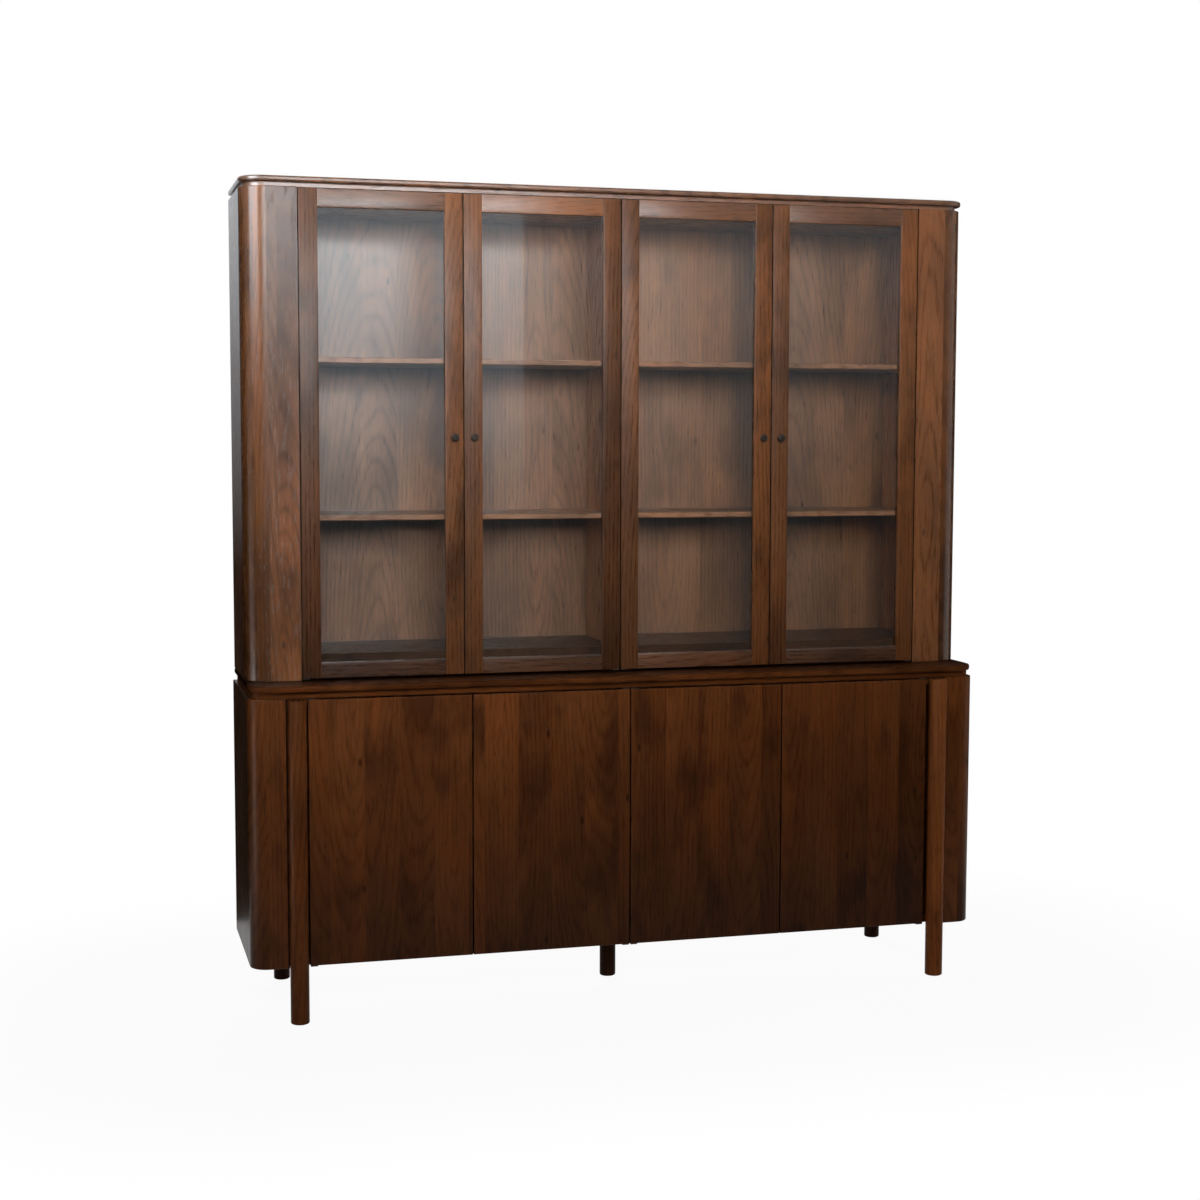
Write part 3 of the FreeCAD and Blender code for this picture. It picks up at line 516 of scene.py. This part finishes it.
def dress_hutch():
    dress(wood("hutch_left_panel_wood", HUTCH_BROWN, "upright", stave=0.095, seed=11.0, contrast=1.2,
               smoke=0.8, rough=0.24, shading=PANEL_SHADE, leaf=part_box("hutch_front_panel_left")),
          "hutch_front_panel_left")
    dress(wood("hutch_right_panel_wood", scaled(HUTCH_BROWN, 1.15), "upright", stave=0.095, seed=41.0,
               contrast=1.2, smoke=0.8, leaf=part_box("hutch_front_panel_right")),
          "hutch_front_panel_right")
    dress(wood("hutch_corner_wood", CORNER_BROWN, "upright", stave=0.12, seed=12.0, gloss=0.35,
               rough=0.21, shading=CORNER_SHADE),
          "hutch_corner_left", "hutch_corner_right")
    dress(wood("hutch_side_wood", HUTCH_BROWN, "upright_side", stave=0.09, seed=13.0,
               shading=HUTCH_SHADE),
          "hutch_side_left", "hutch_side_right")
    dress(wood("hutch_slab_wood", scaled(HUTCH_BROWN, 0.9), "flat", stave=0.11, seed=14.0, gloss=0.7),
          "hutch_top_slab")
    dress(wood("hutch_neck_wood", HUTCH_BROWN, "level", stave=0.2, seed=15.0, gloss=0.9),
          "hutch_neck_board", "hutch_head_rails")
    # Painted shade: the plinth rails are near black, as the shadow in the gap under the hutch doors.
    dress(wood("hutch_plinth_painted_shade", scaled(HUTCH_BROWN, 0.1), "level", stave=0.2, seed=15.5, gloss=0.03),
          "hutch_plinth_rails")
    dress(wood("hutch_shelf_wood", scaled(INSIDE_BROWN, 1.3), "flat", stave=0.1, seed=16.0,
               contrast=0.7, gloss=0.6),
          "hutch_shelves", "hutch_ceiling_board")
    # Painted shade: the hutch floor is much darker than the other insides, as it lies in shade behind the
    # doors.
    dress(wood("hutch_floor_painted_shade", scaled(INSIDE_BROWN, 0.35), "flat", stave=0.1, seed=19.0, gloss=0.1),
          "hutch_floor_board")
    # Painted light: the uprights and partition are much lighter than the other insides, making up for the
    # little light on their sides.
    dress(wood("hutch_upright_painted_light", scaled(INSIDE_BROWN, 2.8), "upright_side", stave=0.1, seed=17.0,
               gloss=0.1),
          "hutch_uprights", "hutch_partition")
    dress(wood("hutch_back_veneer", scaled(INSIDE_BROWN, 1.1), "upright", stave=0.22, seed=18.0,
               contrast=1.3, gloss=1.0, rough=0.31, stave_contrast=0.5),
          "hutch_back_board")


def dress_cupboard_doors():
    """Each door is cut from another place in the log, and the doors get a little darker one by one from
    left to right.
    """
    for number, where in enumerate(DOOR_PLACES):
        node = f"base_door_{where}"
        body = scaled(BASE_BROWN, DOOR_TONE + DOOR_TONE_STEP * number)
        dress(wood(f"base_{where}_door_wood", body, "upright", stave=0.09,
                   seed=DOOR_SEED + DOOR_SEED_STEP * number,
                   contrast=0.85, smoke=0.8, gloss=BASE_GLOSS, shading=BASE_SHADE, leaf=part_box(node)),
              node)


def dress_cupboard():
    dress(wood("base_panel_wood", scaled(BASE_BROWN, 1.1), "upright", stave=0.09, seed=22.0,
               gloss=BASE_GLOSS, groove_shade=POST_GROOVE_SHADE),
          "base_front_panel_left", "base_front_panel_right")
    # Painted shade: the strips behind the posts are near black, as the shade in the gaps beside them.
    dress(wood("post_backer_painted_shade", scaled(BASE_BROWN, 0.15), "upright", stave=0.09, seed=22.5,
               gloss=0.02),
          "post_backer_strips")
    dress(wood("base_corner_wood", BASE_BROWN, "upright", stave=0.1, seed=23.0, gloss=BASE_GLOSS,
               shading=BASE_SHADE),
          "base_corner_left", "base_corner_right")
    dress(wood("base_side_wood", SIDE_BROWN, "upright_side", stave=0.09, seed=24.0, gloss=0.02),
          "base_side_left", "base_side_right")
    dress(wood("base_slab_wood", scaled(BASE_BROWN, 0.95), "flat", stave=0.11, seed=25.0, gloss=0.015,
               hutch_shadow=UNDER_HUTCH),
          "base_top_slab")
    # Painted light: the recessed neck is lighter than the cupboard, making up for the shade under the
    # slab.
    dress(wood("base_neck_painted_light", scaled(BASE_BROWN, 1.2), "level", stave=0.2, seed=25.5, gloss=0.015),
          "base_neck_board")
    dress(wood("base_inside_wood", BASE_BROWN, "flat", stave=0.1, seed=26.0, gloss=BASE_GLOSS),
          "base_floor_board", "base_top_board", "base_shelves")
    dress(wood("base_upright_wood", BASE_BROWN, "upright_side", stave=0.1, seed=27.0, gloss=BASE_GLOSS),
          "base_uprights", "base_partition")
    dress(wood("base_back_veneer", BASE_BROWN, "upright", stave=0.22, seed=28.0, gloss=BASE_GLOSS,
               contrast=0.6),
          "base_back_board")
    dress(wood("leg_wood", scaled(BASE_BROWN, 0.36), "upright", stave=WHOLE, seed=9.0, smoke=0.3,
               gloss=0.03),
          "rear_legs", "middle_leg")
    dress(wood("dowel_beech", tone(190, 150, 108), "upright", stave=WHOLE, seed=31.0, contrast=0.5,
               smoke=0.0),
          "post_dowels")


def dress_fittings():
    dress(glass_pane("float_glass"), *[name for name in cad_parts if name.endswith("_glass")])
    dress(metal("blued_steel", tone(62, 56, 52), rough=0.45, metallic=0.85),
          "hinge_plates", "hinge_pivot_pins", "hinge_plate_screws", "shelf_pins",
          "leg_bolts", "hutch_joining_bolts")
    dress(plastic("latch_plastic", tone(58, 52, 48)), "push_latches", "magnet_catches")


# ---------------------------------------------------------------- the bench

def clear_selection():
    bpy.ops.object.select_all(action="DESELECT")


def settled():
    """The object just made, with its place, turn and size put into its mesh."""
    bpy.ops.object.transform_apply(location=True, rotation=True, scale=True)
    return bpy.context.object


def start_block(low, high):
    """A block of timber at its size and place."""
    clear_selection()
    bpy.ops.mesh.primitive_cube_add(size=1.0, location=(low + high) / 2)
    bpy.context.object.scale = high - low
    return settled()


def select_where(piece, part, test):
    """In edit mode, selects the edges or faces that pass a test."""
    bpy.ops.object.mode_set(mode="EDIT")
    bpy.ops.mesh.select_mode(type=part)
    bpy.ops.mesh.select_all(action="DESELECT")
    mesh = bmesh.from_edit_mesh(piece.data)
    for item in (mesh.edges if part == "EDGE" else mesh.faces):
        item.select_set(test(item))
    mesh.select_flush_mode()
    bmesh.update_edit_mesh(piece.data)


def is_arris(edge):
    """True for an edge where two faces meet at an angle."""
    return len(edge.link_faces) == 2 and edge.calc_face_angle() > SHARP


def ease(piece, width, segments, test):
    """Rounds the arrises that pass a test."""
    select_where(piece, "EDGE", lambda edge: is_arris(edge) and test(edge))
    bpy.ops.mesh.bevel(offset=width, offset_type="OFFSET", segments=segments, profile=0.5)
    bpy.ops.object.mode_set(mode="OBJECT")


def smooth(piece):
    clear_selection()
    piece.select_set(True)
    bpy.context.view_layer.objects.active = piece
    bpy.ops.object.shade_smooth_by_angle(angle=SHARP)


def lies_at(edge, axis, level):
    """True if both ends of an edge are at one level of an axis."""
    return all(abs(vertex.co.dot(AXES[axis]) - level) < NEAR for vertex in edge.verts)


def number_boards(boards):
    """Gives each board of a piece its own number, which the wood's draw of tone reads."""
    for number, board in enumerate(boards):
        mesh = board.data
        mark = mesh.attributes.new("board", "FLOAT", "POINT")
        mark.data.foreach_set("value", [float(number)] * len(mesh.vertices))


def paint(piece, finish):
    piece.data.materials.clear()
    piece.data.materials.append(finish)


def join(name, boards):
    clear_selection()
    for board in boards:
        board.select_set(True)
    bpy.context.view_layer.objects.active = boards[0]
    bpy.ops.object.join()
    piece = bpy.context.object
    piece.name = name
    piece.data.name = name
    smooth(piece)
    return piece


def copy_to(pattern, name, shift, number=0):
    """Another piece like the pattern, with its own mesh, further along."""
    piece = pattern.copy()
    piece.data = pattern.data.copy()
    piece.name = name
    piece.data.name = name
    piece.data.transform(Matrix.Translation(shift))
    bpy.context.scene.collection.objects.link(piece)
    mark = piece.data.attributes.get("board")
    if mark:
        for item in mark.data:
            item.value += number
    return piece


# ---------------------------------------------------------------- door frames of the hutch

STILE = 48 * MM
TOP_RAIL = 46 * MM
BOTTOM_RAIL = 41 * MM
REBATE = 8 * MM
GLASS_FRONT = 8 * MM         # behind the door face
BEAD_FRONT = 12 * MM         # behind the door face
BEAD_WIDTH = 7.5 * MM
BEAD_ROUND = 2 * MM
ARRIS = 1.2 * MM
BOARDS_IN_FRAME = 8          # four bars and four beads


def rebated_bar(low, high, along, toward):
    """A frame bar: its section is cut with the rebate, then drawn out along the grain."""
    clear_selection()
    start = (low + high) / 2
    if along == "z":
        start.z = low.z
        size = (high.x - low.x, high.y - low.y, 1.0)
        turn = (0.0, 0.0, 0.0)
    else:
        start.x = low.x
        size = (high.z - low.z, high.y - low.y, 1.0)
        turn = (0.0, RIGHT_ANGLE, 0.0)
    bpy.ops.mesh.primitive_plane_add(size=1.0, location=start, rotation=turn)
    bpy.context.object.scale = size
    bar = settled()
    glass_front = low.y + GLASS_FRONT
    rebate_wall = max(low.dot(toward), high.dot(toward)) - REBATE
    bpy.ops.object.mode_set(mode="EDIT")
    bpy.ops.mesh.select_all(action="SELECT")
    bpy.ops.mesh.bisect(plane_co=toward * rebate_wall, plane_no=toward)
    bpy.ops.mesh.select_all(action="SELECT")
    bpy.ops.mesh.bisect(plane_co=(0.0, glass_front, 0.0), plane_no=AXES["y"])

    def in_rebate(face):
        centre = face.calc_center_median()
        return centre.dot(toward) > rebate_wall and centre.y > glass_front

    select_where(bar, "FACE", in_rebate)
    bpy.ops.mesh.delete(type="FACE")
    bpy.ops.mesh.select_all(action="SELECT")
    length = (high - low).dot(AXES[along])
    bpy.ops.mesh.extrude_region_move(TRANSFORM_OT_translate={"value": AXES[along] * length})
    bpy.ops.mesh.select_all(action="SELECT")
    bpy.ops.mesh.normals_make_consistent(inside=False)
    ease(bar, ARRIS, segments=3, test=lambda edge: lies_at(edge, "y", low.y))
    return bar


def beads(inner_low, inner_high, front):
    """Slim beads behind the glass, rounded on the side that shows."""
    back = inner_high.y
    left = inner_low.x - REBATE
    right = inner_high.x + REBATE
    bottom = inner_low.z - REBATE
    top = inner_high.z + REBATE
    spans = [
        (Vector((left, front, bottom)), Vector((left + BEAD_WIDTH, back, top)), stile_wood),
        (Vector((right - BEAD_WIDTH, front, bottom)), Vector((right, back, top)), stile_wood),
        (Vector((left + BEAD_WIDTH, front, bottom)),
         Vector((right - BEAD_WIDTH, back, bottom + BEAD_WIDTH)), rail_wood),
        (Vector((left + BEAD_WIDTH, front, top - BEAD_WIDTH)),
         Vector((right - BEAD_WIDTH, back, top)), rail_wood),
    ]
    made = []
    for low, high, finish in spans:
        bead = start_block(low, high)
        ease(bead, BEAD_ROUND, segments=3, test=lambda edge: lies_at(edge, "y", back))
        paint(bead, finish)
        made.append(bead)
    return made


def shade_frame_edges(piece, low, high):
    """Gives the faces round the outside of a frame a painted shade, as dark as the gaps between the
    doors.
    """
    def is_outside(face):
        middle = face.calc_center_median()
        across = min(abs(middle.x - low.x), abs(middle.x - high.x))
        upward = min(abs(middle.z - low.z), abs(middle.z - high.z))
        return min(across, upward) < NEAR

    bpy.ops.object.material_slot_add()
    piece.material_slots[-1].material = door_gap_shade
    piece.active_material_index = len(piece.material_slots) - 1
    select_where(piece, "FACE", is_outside)
    bpy.ops.object.material_slot_assign()
    bpy.ops.object.mode_set(mode="OBJECT")


def door_frame(name, low, high):
    """Two stiles, two rails and four glazing beads, as joined at the bench."""
    inner_low = Vector((low.x + STILE, low.y, low.z + BOTTOM_RAIL))
    inner_high = Vector((high.x - STILE, high.y, high.z - TOP_RAIL))
    stiles = [
        rebated_bar(low, Vector((inner_low.x, high.y, high.z)), "z", AXES["x"]),
        rebated_bar(Vector((inner_high.x, low.y, low.z)), high, "z", -AXES["x"]),
    ]
    rails = [
        rebated_bar(Vector((inner_low.x, low.y, low.z)), Vector((inner_high.x, high.y, inner_low.z)),
                    "x", AXES["z"]),
        rebated_bar(Vector((inner_low.x, low.y, inner_high.z)), Vector((inner_high.x, high.y, high.z)),
                    "x", -AXES["z"]),
    ]
    for stile in stiles:
        paint(stile, stile_wood)
    for rail in rails:
        paint(rail, rail_wood)
    boards = stiles + rails + beads(inner_low, inner_high, low.y + BEAD_FRONT)
    number_boards(boards)
    joined = join(name, boards)
    shade_frame_edges(joined, low, high)
    return joined


def place_hutch_doors():
    low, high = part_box("hutch_door_outer_left_frame")
    pattern = door_frame("door_frame_pattern", low, high)
    for number, where in enumerate(DOOR_PLACES):
        node = f"hutch_door_{where}_frame"
        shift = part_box(node)[0] - low
        piece = copy_to(pattern, f"{where}_door_frame", shift, number * BOARDS_IN_FRAME)
        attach(piece, f"hutch_door_{where}")
        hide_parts(node)
    bpy.data.objects.remove(pattern)


# ---------------------------------------------------------------- knobs

KNOB_SIDES = 40
KNOB_FLANGE = 6.5 * MM       # radii
KNOB_NECK = 4.5 * MM
KNOB_HEAD = 10 * MM
KNOB_FLANGE_LENGTH = 2 * MM
KNOB_FLARE_LENGTH = 0.6 * MM
KNOB_HEAD_LENGTH = 9 * MM    # with the flare behind it
KNOB_HEAD_ROUND = 2.6 * MM
KNOB_EASE = 0.5 * MM


def grow(radius_from, radius_to, distance):
    """Draws the picked face out of the door by a distance and to a new radius."""
    move = {"value": (0.0, -distance, 0.0)}
    bpy.ops.mesh.extrude_region_move(TRANSFORM_OT_translate=move)
    factor = radius_to / radius_from
    mesh = bmesh.from_edit_mesh(bpy.context.object.data)
    chosen = [face for face in mesh.faces if face.select]
    middle = chosen[0].calc_center_median()
    bpy.ops.transform.resize(value=(factor, 1.0, factor), center_override=middle)


def turned_knob(name, node):
    """A small turned knob: a flange on the door, a neck and a rounded head."""
    low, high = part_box(node)
    door_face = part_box(node.replace("_knob", "_frame"))[0].y
    middle = Vector(((low.x + high.x) / 2, door_face, (low.z + high.z) / 2))
    clear_selection()
    bpy.ops.mesh.primitive_circle_add(vertices=KNOB_SIDES, radius=KNOB_FLANGE, fill_type="NGON",
                                      location=middle, rotation=(RIGHT_ANGLE, 0.0, 0.0))
    knob = settled()
    bpy.ops.object.mode_set(mode="EDIT")
    bpy.ops.mesh.select_all(action="SELECT")
    neck_end = door_face - low.y - KNOB_HEAD_LENGTH
    grow(KNOB_FLANGE, KNOB_FLANGE, KNOB_FLANGE_LENGTH)
    bpy.ops.mesh.inset(thickness=KNOB_FLANGE - KNOB_NECK, depth=0.0)
    grow(KNOB_NECK, KNOB_NECK, neck_end - KNOB_FLANGE_LENGTH)
    grow(KNOB_NECK, KNOB_HEAD, KNOB_FLARE_LENGTH)
    grow(KNOB_HEAD, KNOB_HEAD, KNOB_HEAD_LENGTH - KNOB_FLARE_LENGTH)
    bpy.ops.mesh.select_all(action="SELECT")
    bpy.ops.mesh.normals_make_consistent(inside=False)
    ease(knob, KNOB_HEAD_ROUND, segments=6, test=lambda edge: lies_at(edge, "y", low.y))
    ease(knob, KNOB_EASE, segments=2, test=lambda edge: not lies_at(edge, "y", door_face))
    knob.name = name
    paint(knob, knob_metal)
    smooth(knob)
    return knob


def place_knobs():
    pattern_node = "hutch_door_outer_left_knob"
    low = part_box(pattern_node)[0]
    pattern = turned_knob("knob_pattern", pattern_node)
    for where in DOOR_PLACES:
        node = f"hutch_door_{where}_knob"
        piece = copy_to(pattern, f"{where}_knob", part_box(node)[0] - low)
        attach(piece, f"hutch_door_{where}")
        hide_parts(node)
    bpy.data.objects.remove(pattern)


# ---------------------------------------------------------------- front posts

ROUND_SIDES = 96
FOOT_ROUND = 4 * MM
TOP_EASE = 1.5 * MM


def turned_post(name, low, high):
    """A turned post, rounded at the foot and eased at the top."""
    clear_selection()
    radius = (high.x - low.x) / 2
    bpy.ops.mesh.primitive_cylinder_add(vertices=ROUND_SIDES, radius=radius, depth=high.z - low.z,
                                        location=(low + high) / 2)
    post = settled()
    ease(post, FOOT_ROUND, segments=6, test=lambda edge: lies_at(edge, "z", low.z))
    ease(post, TOP_EASE, segments=3, test=lambda edge: lies_at(edge, "z", high.z))
    post.name = name
    paint(post, post_wood)
    smooth(post)
    return post


def place_posts():
    for side in ("left", "right"):
        node = f"front_post_{side}"
        low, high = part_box(node)
        post = turned_post(f"{side}_post", low, high)
        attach(post, "cabinet")
        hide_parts(node)


# ---------------------------------------------------------------- camera and surroundings

CAMERA_PLACE = Vector((-1.4378, -5.0917, 1.4909))
CAMERA_YAW = math.radians(15.4664)
CAMERA_PITCH = math.radians(-4.77655)
CAMERA_ROLL = math.radians(0.12518)
LENS = 58.2165               # millimetres, as is the sensor
SENSOR = 36.0


def place_camera():
    forward = Vector((math.sin(CAMERA_YAW) * math.cos(CAMERA_PITCH),
                      math.cos(CAMERA_YAW) * math.cos(CAMERA_PITCH), math.sin(CAMERA_PITCH)))
    level_right = Vector((math.cos(CAMERA_YAW), -math.sin(CAMERA_YAW), 0.0))
    level_up = level_right.cross(forward)
    right = level_right * math.cos(CAMERA_ROLL) + level_up * math.sin(CAMERA_ROLL)
    up = level_up * math.cos(CAMERA_ROLL) - level_right * math.sin(CAMERA_ROLL)
    data = bpy.data.cameras.new("camera")
    data.lens = LENS
    data.sensor_width = SENSOR
    camera = bpy.data.objects.new("camera", data)
    bpy.context.scene.collection.objects.link(camera)
    turn = Matrix((right, up, -forward)).transposed()
    camera.matrix_world = Matrix.Translation(CAMERA_PLACE) @ turn.to_4x4()
    bpy.context.scene.camera = camera


def seen_directly(finish):
    """1 for rays that show the surroundings: from the camera, in gloss or through glass."""
    path = finish.add("ShaderNodeLightPath")
    camera_ray = path.output("Is Camera Ray")
    gloss_ray = path.output("Is Glossy Ray")
    return camera_ray.or_more(gloss_ray).or_more(path.output("Is Transmission Ray"))


AMBIENT = 0.06


def light_room():
    """A white surround that the camera and gloss see, and a dim one that lights the object."""
    world = bpy.data.worlds.new("white_surround")
    bpy.context.scene.world = world
    finish = Finish(world)
    strength = AMBIENT + seen_directly(finish) * (1.0 - AMBIENT)
    surround = finish.add("ShaderNodeBackground", {}, {"Color": WHITE, "Strength": strength})
    finish.finish_with(surround)


FLOOR_LEVEL = -0.5 * MM
FLOOR_FRONT = -1.75
FLOOR_BACK = 30.0
FLOOR_HALF = 30.0
FLOOR_WHITE = (0.86, 0.86, 0.86, 1.0)
NEAR_SHARE = 0.94            # share of plain white in the look of the floor close to the object
CLEAR_FROM = 0.25            # metres outside the object's box where the floor begins to turn plain white
CLEAR_AT = 1.2


def lay_floor():
    """A pale floor that keeps a soft shadow near the legs and runs out to white."""
    clear_selection()
    middle = Vector((0.0, (FLOOR_FRONT + FLOOR_BACK) / 2, FLOOR_LEVEL))
    bpy.ops.mesh.primitive_plane_add(size=1.0, location=middle)
    bpy.context.object.scale = (2 * FLOOR_HALF, FLOOR_BACK - FLOOR_FRONT, 1.0)
    floor = settled()
    floor.name = "floor"
    finish = new_finish("pale_floor")
    spot = finish.parts(finish.corner())
    past_side = (spot.unsigned() - cad_high.x).or_more(0.0)
    past_front = (spot.output("Y").unsigned() - cad_high.y).or_more(0.0)
    reach = (past_side * past_side + past_front * past_front) ** 0.5
    share = NEAR_SHARE + reach.step(CLEAR_FROM, CLEAR_AT) * (1.0 - NEAR_SHARE)
    matt = finish.add("ShaderNodeBsdfDiffuse", {}, {"Color": FLOOR_WHITE})
    glow = finish.add("ShaderNodeEmission", {}, {"Color": WHITE, "Strength": 1.0})
    factor = share * seen_directly(finish)
    paint(floor, finish.finish_with(finish.add("ShaderNodeMixShader", {}, {0: factor, 1: matt, 2: glow})))


# ---------------------------------------------------------------- lamps and gloss panels

def turn_to(thing, place, aim):
    """Puts a lamp or panel in place, facing what it lights."""
    direction = Vector(aim) - Vector(place)
    thing.rotation_mode = "QUATERNION"
    thing.rotation_quaternion = direction.to_track_quat("-Z", "Y")
    thing.location = place


def softbox(name, place, aim, width, height, watts, spread=180):
    """A lamp that lights the object but doesn't show in its gloss."""
    data = bpy.data.lights.new(name, "AREA")
    data.spread = math.radians(spread)
    data.shape = "RECTANGLE"
    data.size = width
    data.size_y = height
    data.energy = watts
    lamp = bpy.data.objects.new(name, data)
    bpy.context.scene.collection.objects.link(lamp)
    turn_to(lamp, place, aim)
    lamp.visible_glossy = False


def light_object():
    softbox("high_softbox", place=(-0.8, -5.1, 3.22), aim=(-0.1, 0.0, 1.8),
            width=3.6, height=0.8, watts=95.0)
    softbox("front_fill", place=(-1.2, -5.6, 2.6), aim=(-0.5, 0.0, 2.4),
            width=2.4, height=1.5, watts=44.0, spread=44)
    softbox("back_fill", place=(0.0, 6.0, 2.2), aim=(0.0, 0.0, 1.1),
            width=1.8, height=1.8, watts=260.0)
    softbox("right_fill", place=(6.0, 1.2, 2.0), aim=(1.0, 0.0, 1.1),
            width=1.6, height=1.6, watts=120.0)


def gloss_panel(name, place, aim, width, height, stops, tint=WHITE):
    """A graded panel that shows only in gloss. Its stops are heights from its middle, in metres,
    each with the brightness there."""
    clear_selection()
    bpy.ops.mesh.primitive_plane_add(size=1.0)
    panel = bpy.context.object
    panel.name = name
    panel.scale = (width, height, 1.0)
    turn_to(panel, place, aim)
    finish = new_finish(name)
    rise = finish.parts(finish.corner()).output("Y") + 0.5
    shades = [((level + height / 2) / height, scaled(tint, brightness)) for level, brightness in stops]
    glow = finish.add("ShaderNodeValToRGB", {"stops": shades}, {"Fac": rise})
    paint(panel, finish.finish_with(finish.add("ShaderNodeEmission", {}, {"Color": glow})))
    panel.visible_camera = False
    panel.visible_diffuse = False
    panel.visible_transmission = False
    panel.visible_shadow = False


MIRROR_WALL = -5.05          # beside the camera, where the fronts mirror the studio
SHEEN = (0.9, 1.0, 1.06, 1.0)


def front_sheen(name, x, z, width, height, stops):
    """A panel square to the fronts."""
    gloss_panel(name, (x, MIRROR_WALL, z), (x, 0.0, z), width, height, stops, SHEEN)


def hang_front_panels():
    """The dim room in front, and what shines in the panes, the rails and the left corner."""
    gloss_panel("dim_room", place=(0.0, -9.0, 0.0), aim=(0.0, 0.0, 0.0), width=30.0, height=24.0,
                stops=[(-4.0, 0.02), (-1.0, 0.04), (1.0, 0.13), (3.5, 0.8)])
    front_sheen("left_sheen", x=-1.0, z=2.65, width=1.4, height=0.9,
                stops=[(-0.45, 11.0), (0.45, 19.0)])
    front_sheen("pane_sheen", x=0.3, z=1.75, width=1.2, height=1.9,
                stops=[(-0.95, 0.0), (-0.7, 0.1), (-0.5, 0.3), (-0.1, 0.9), (0.3, 1.3), (0.95, 1.7)])
    front_sheen("rail_sheen", x=0.35, z=2.97, width=1.3, height=0.5,
                stops=[(-0.25, 18.0), (0.25, 24.0)])
    gloss_panel("left_strip", place=(-4.05, -2.62, 1.9), aim=(-0.95, -0.1, 1.9), width=3.1, height=5.0,
                stops=[(-0.8, 0.0), (-0.1, 0.1), (0.25, 5.0), (0.55, 14.0), (1.5, 34.0)],
                tint=(0.88, 1.0, 1.1, 1.0))


def hang_side_panels():
    """Dark flags that keep the white surround out of the sides' gloss, and two small glows in it."""
    gloss_panel("back_right_flag", place=(4.75, 0.9, 1.1), aim=(4.75, -5.0, 1.1), width=7.0, height=4.6,
                stops=[(-2.3, 0.0), (2.3, 0.05)])
    gloss_panel("back_left_flag", place=(-4.5, 0.9, 0.7), aim=(-4.5, -5.0, 0.7), width=7.0, height=3.4,
                stops=[(0.25, 0.0), (1.5, 0.1)])
    gloss_panel("corner_glow", place=(-2.2, -0.33, 0.35), aim=(-0.98, -0.21, 0.35),
                width=0.45, height=0.7, stops=[(-0.35, 7.0), (0.35, 9.0)])
    gloss_panel("back_left_glow", place=(-1.17, 0.88, 0.7), aim=(-1.17, -5.0, 0.7),
                width=0.3, height=3.4, stops=[(0.4, 0.0), (1.0, 0.5), (1.5, 1.3)],
                tint=(0.93, 1.0, 1.06, 1.0))


# ---------------------------------------------------------------- the scene

dress_hutch()
dress_cupboard_doors()
dress_cupboard()
dress_fittings()
place_hutch_doors()
place_knobs()
place_posts()
place_camera()
light_room()
lay_floor()
light_object()
hang_front_panels()
hang_side_panels()

bpy.context.scene.view_settings.view_transform = "Standard"
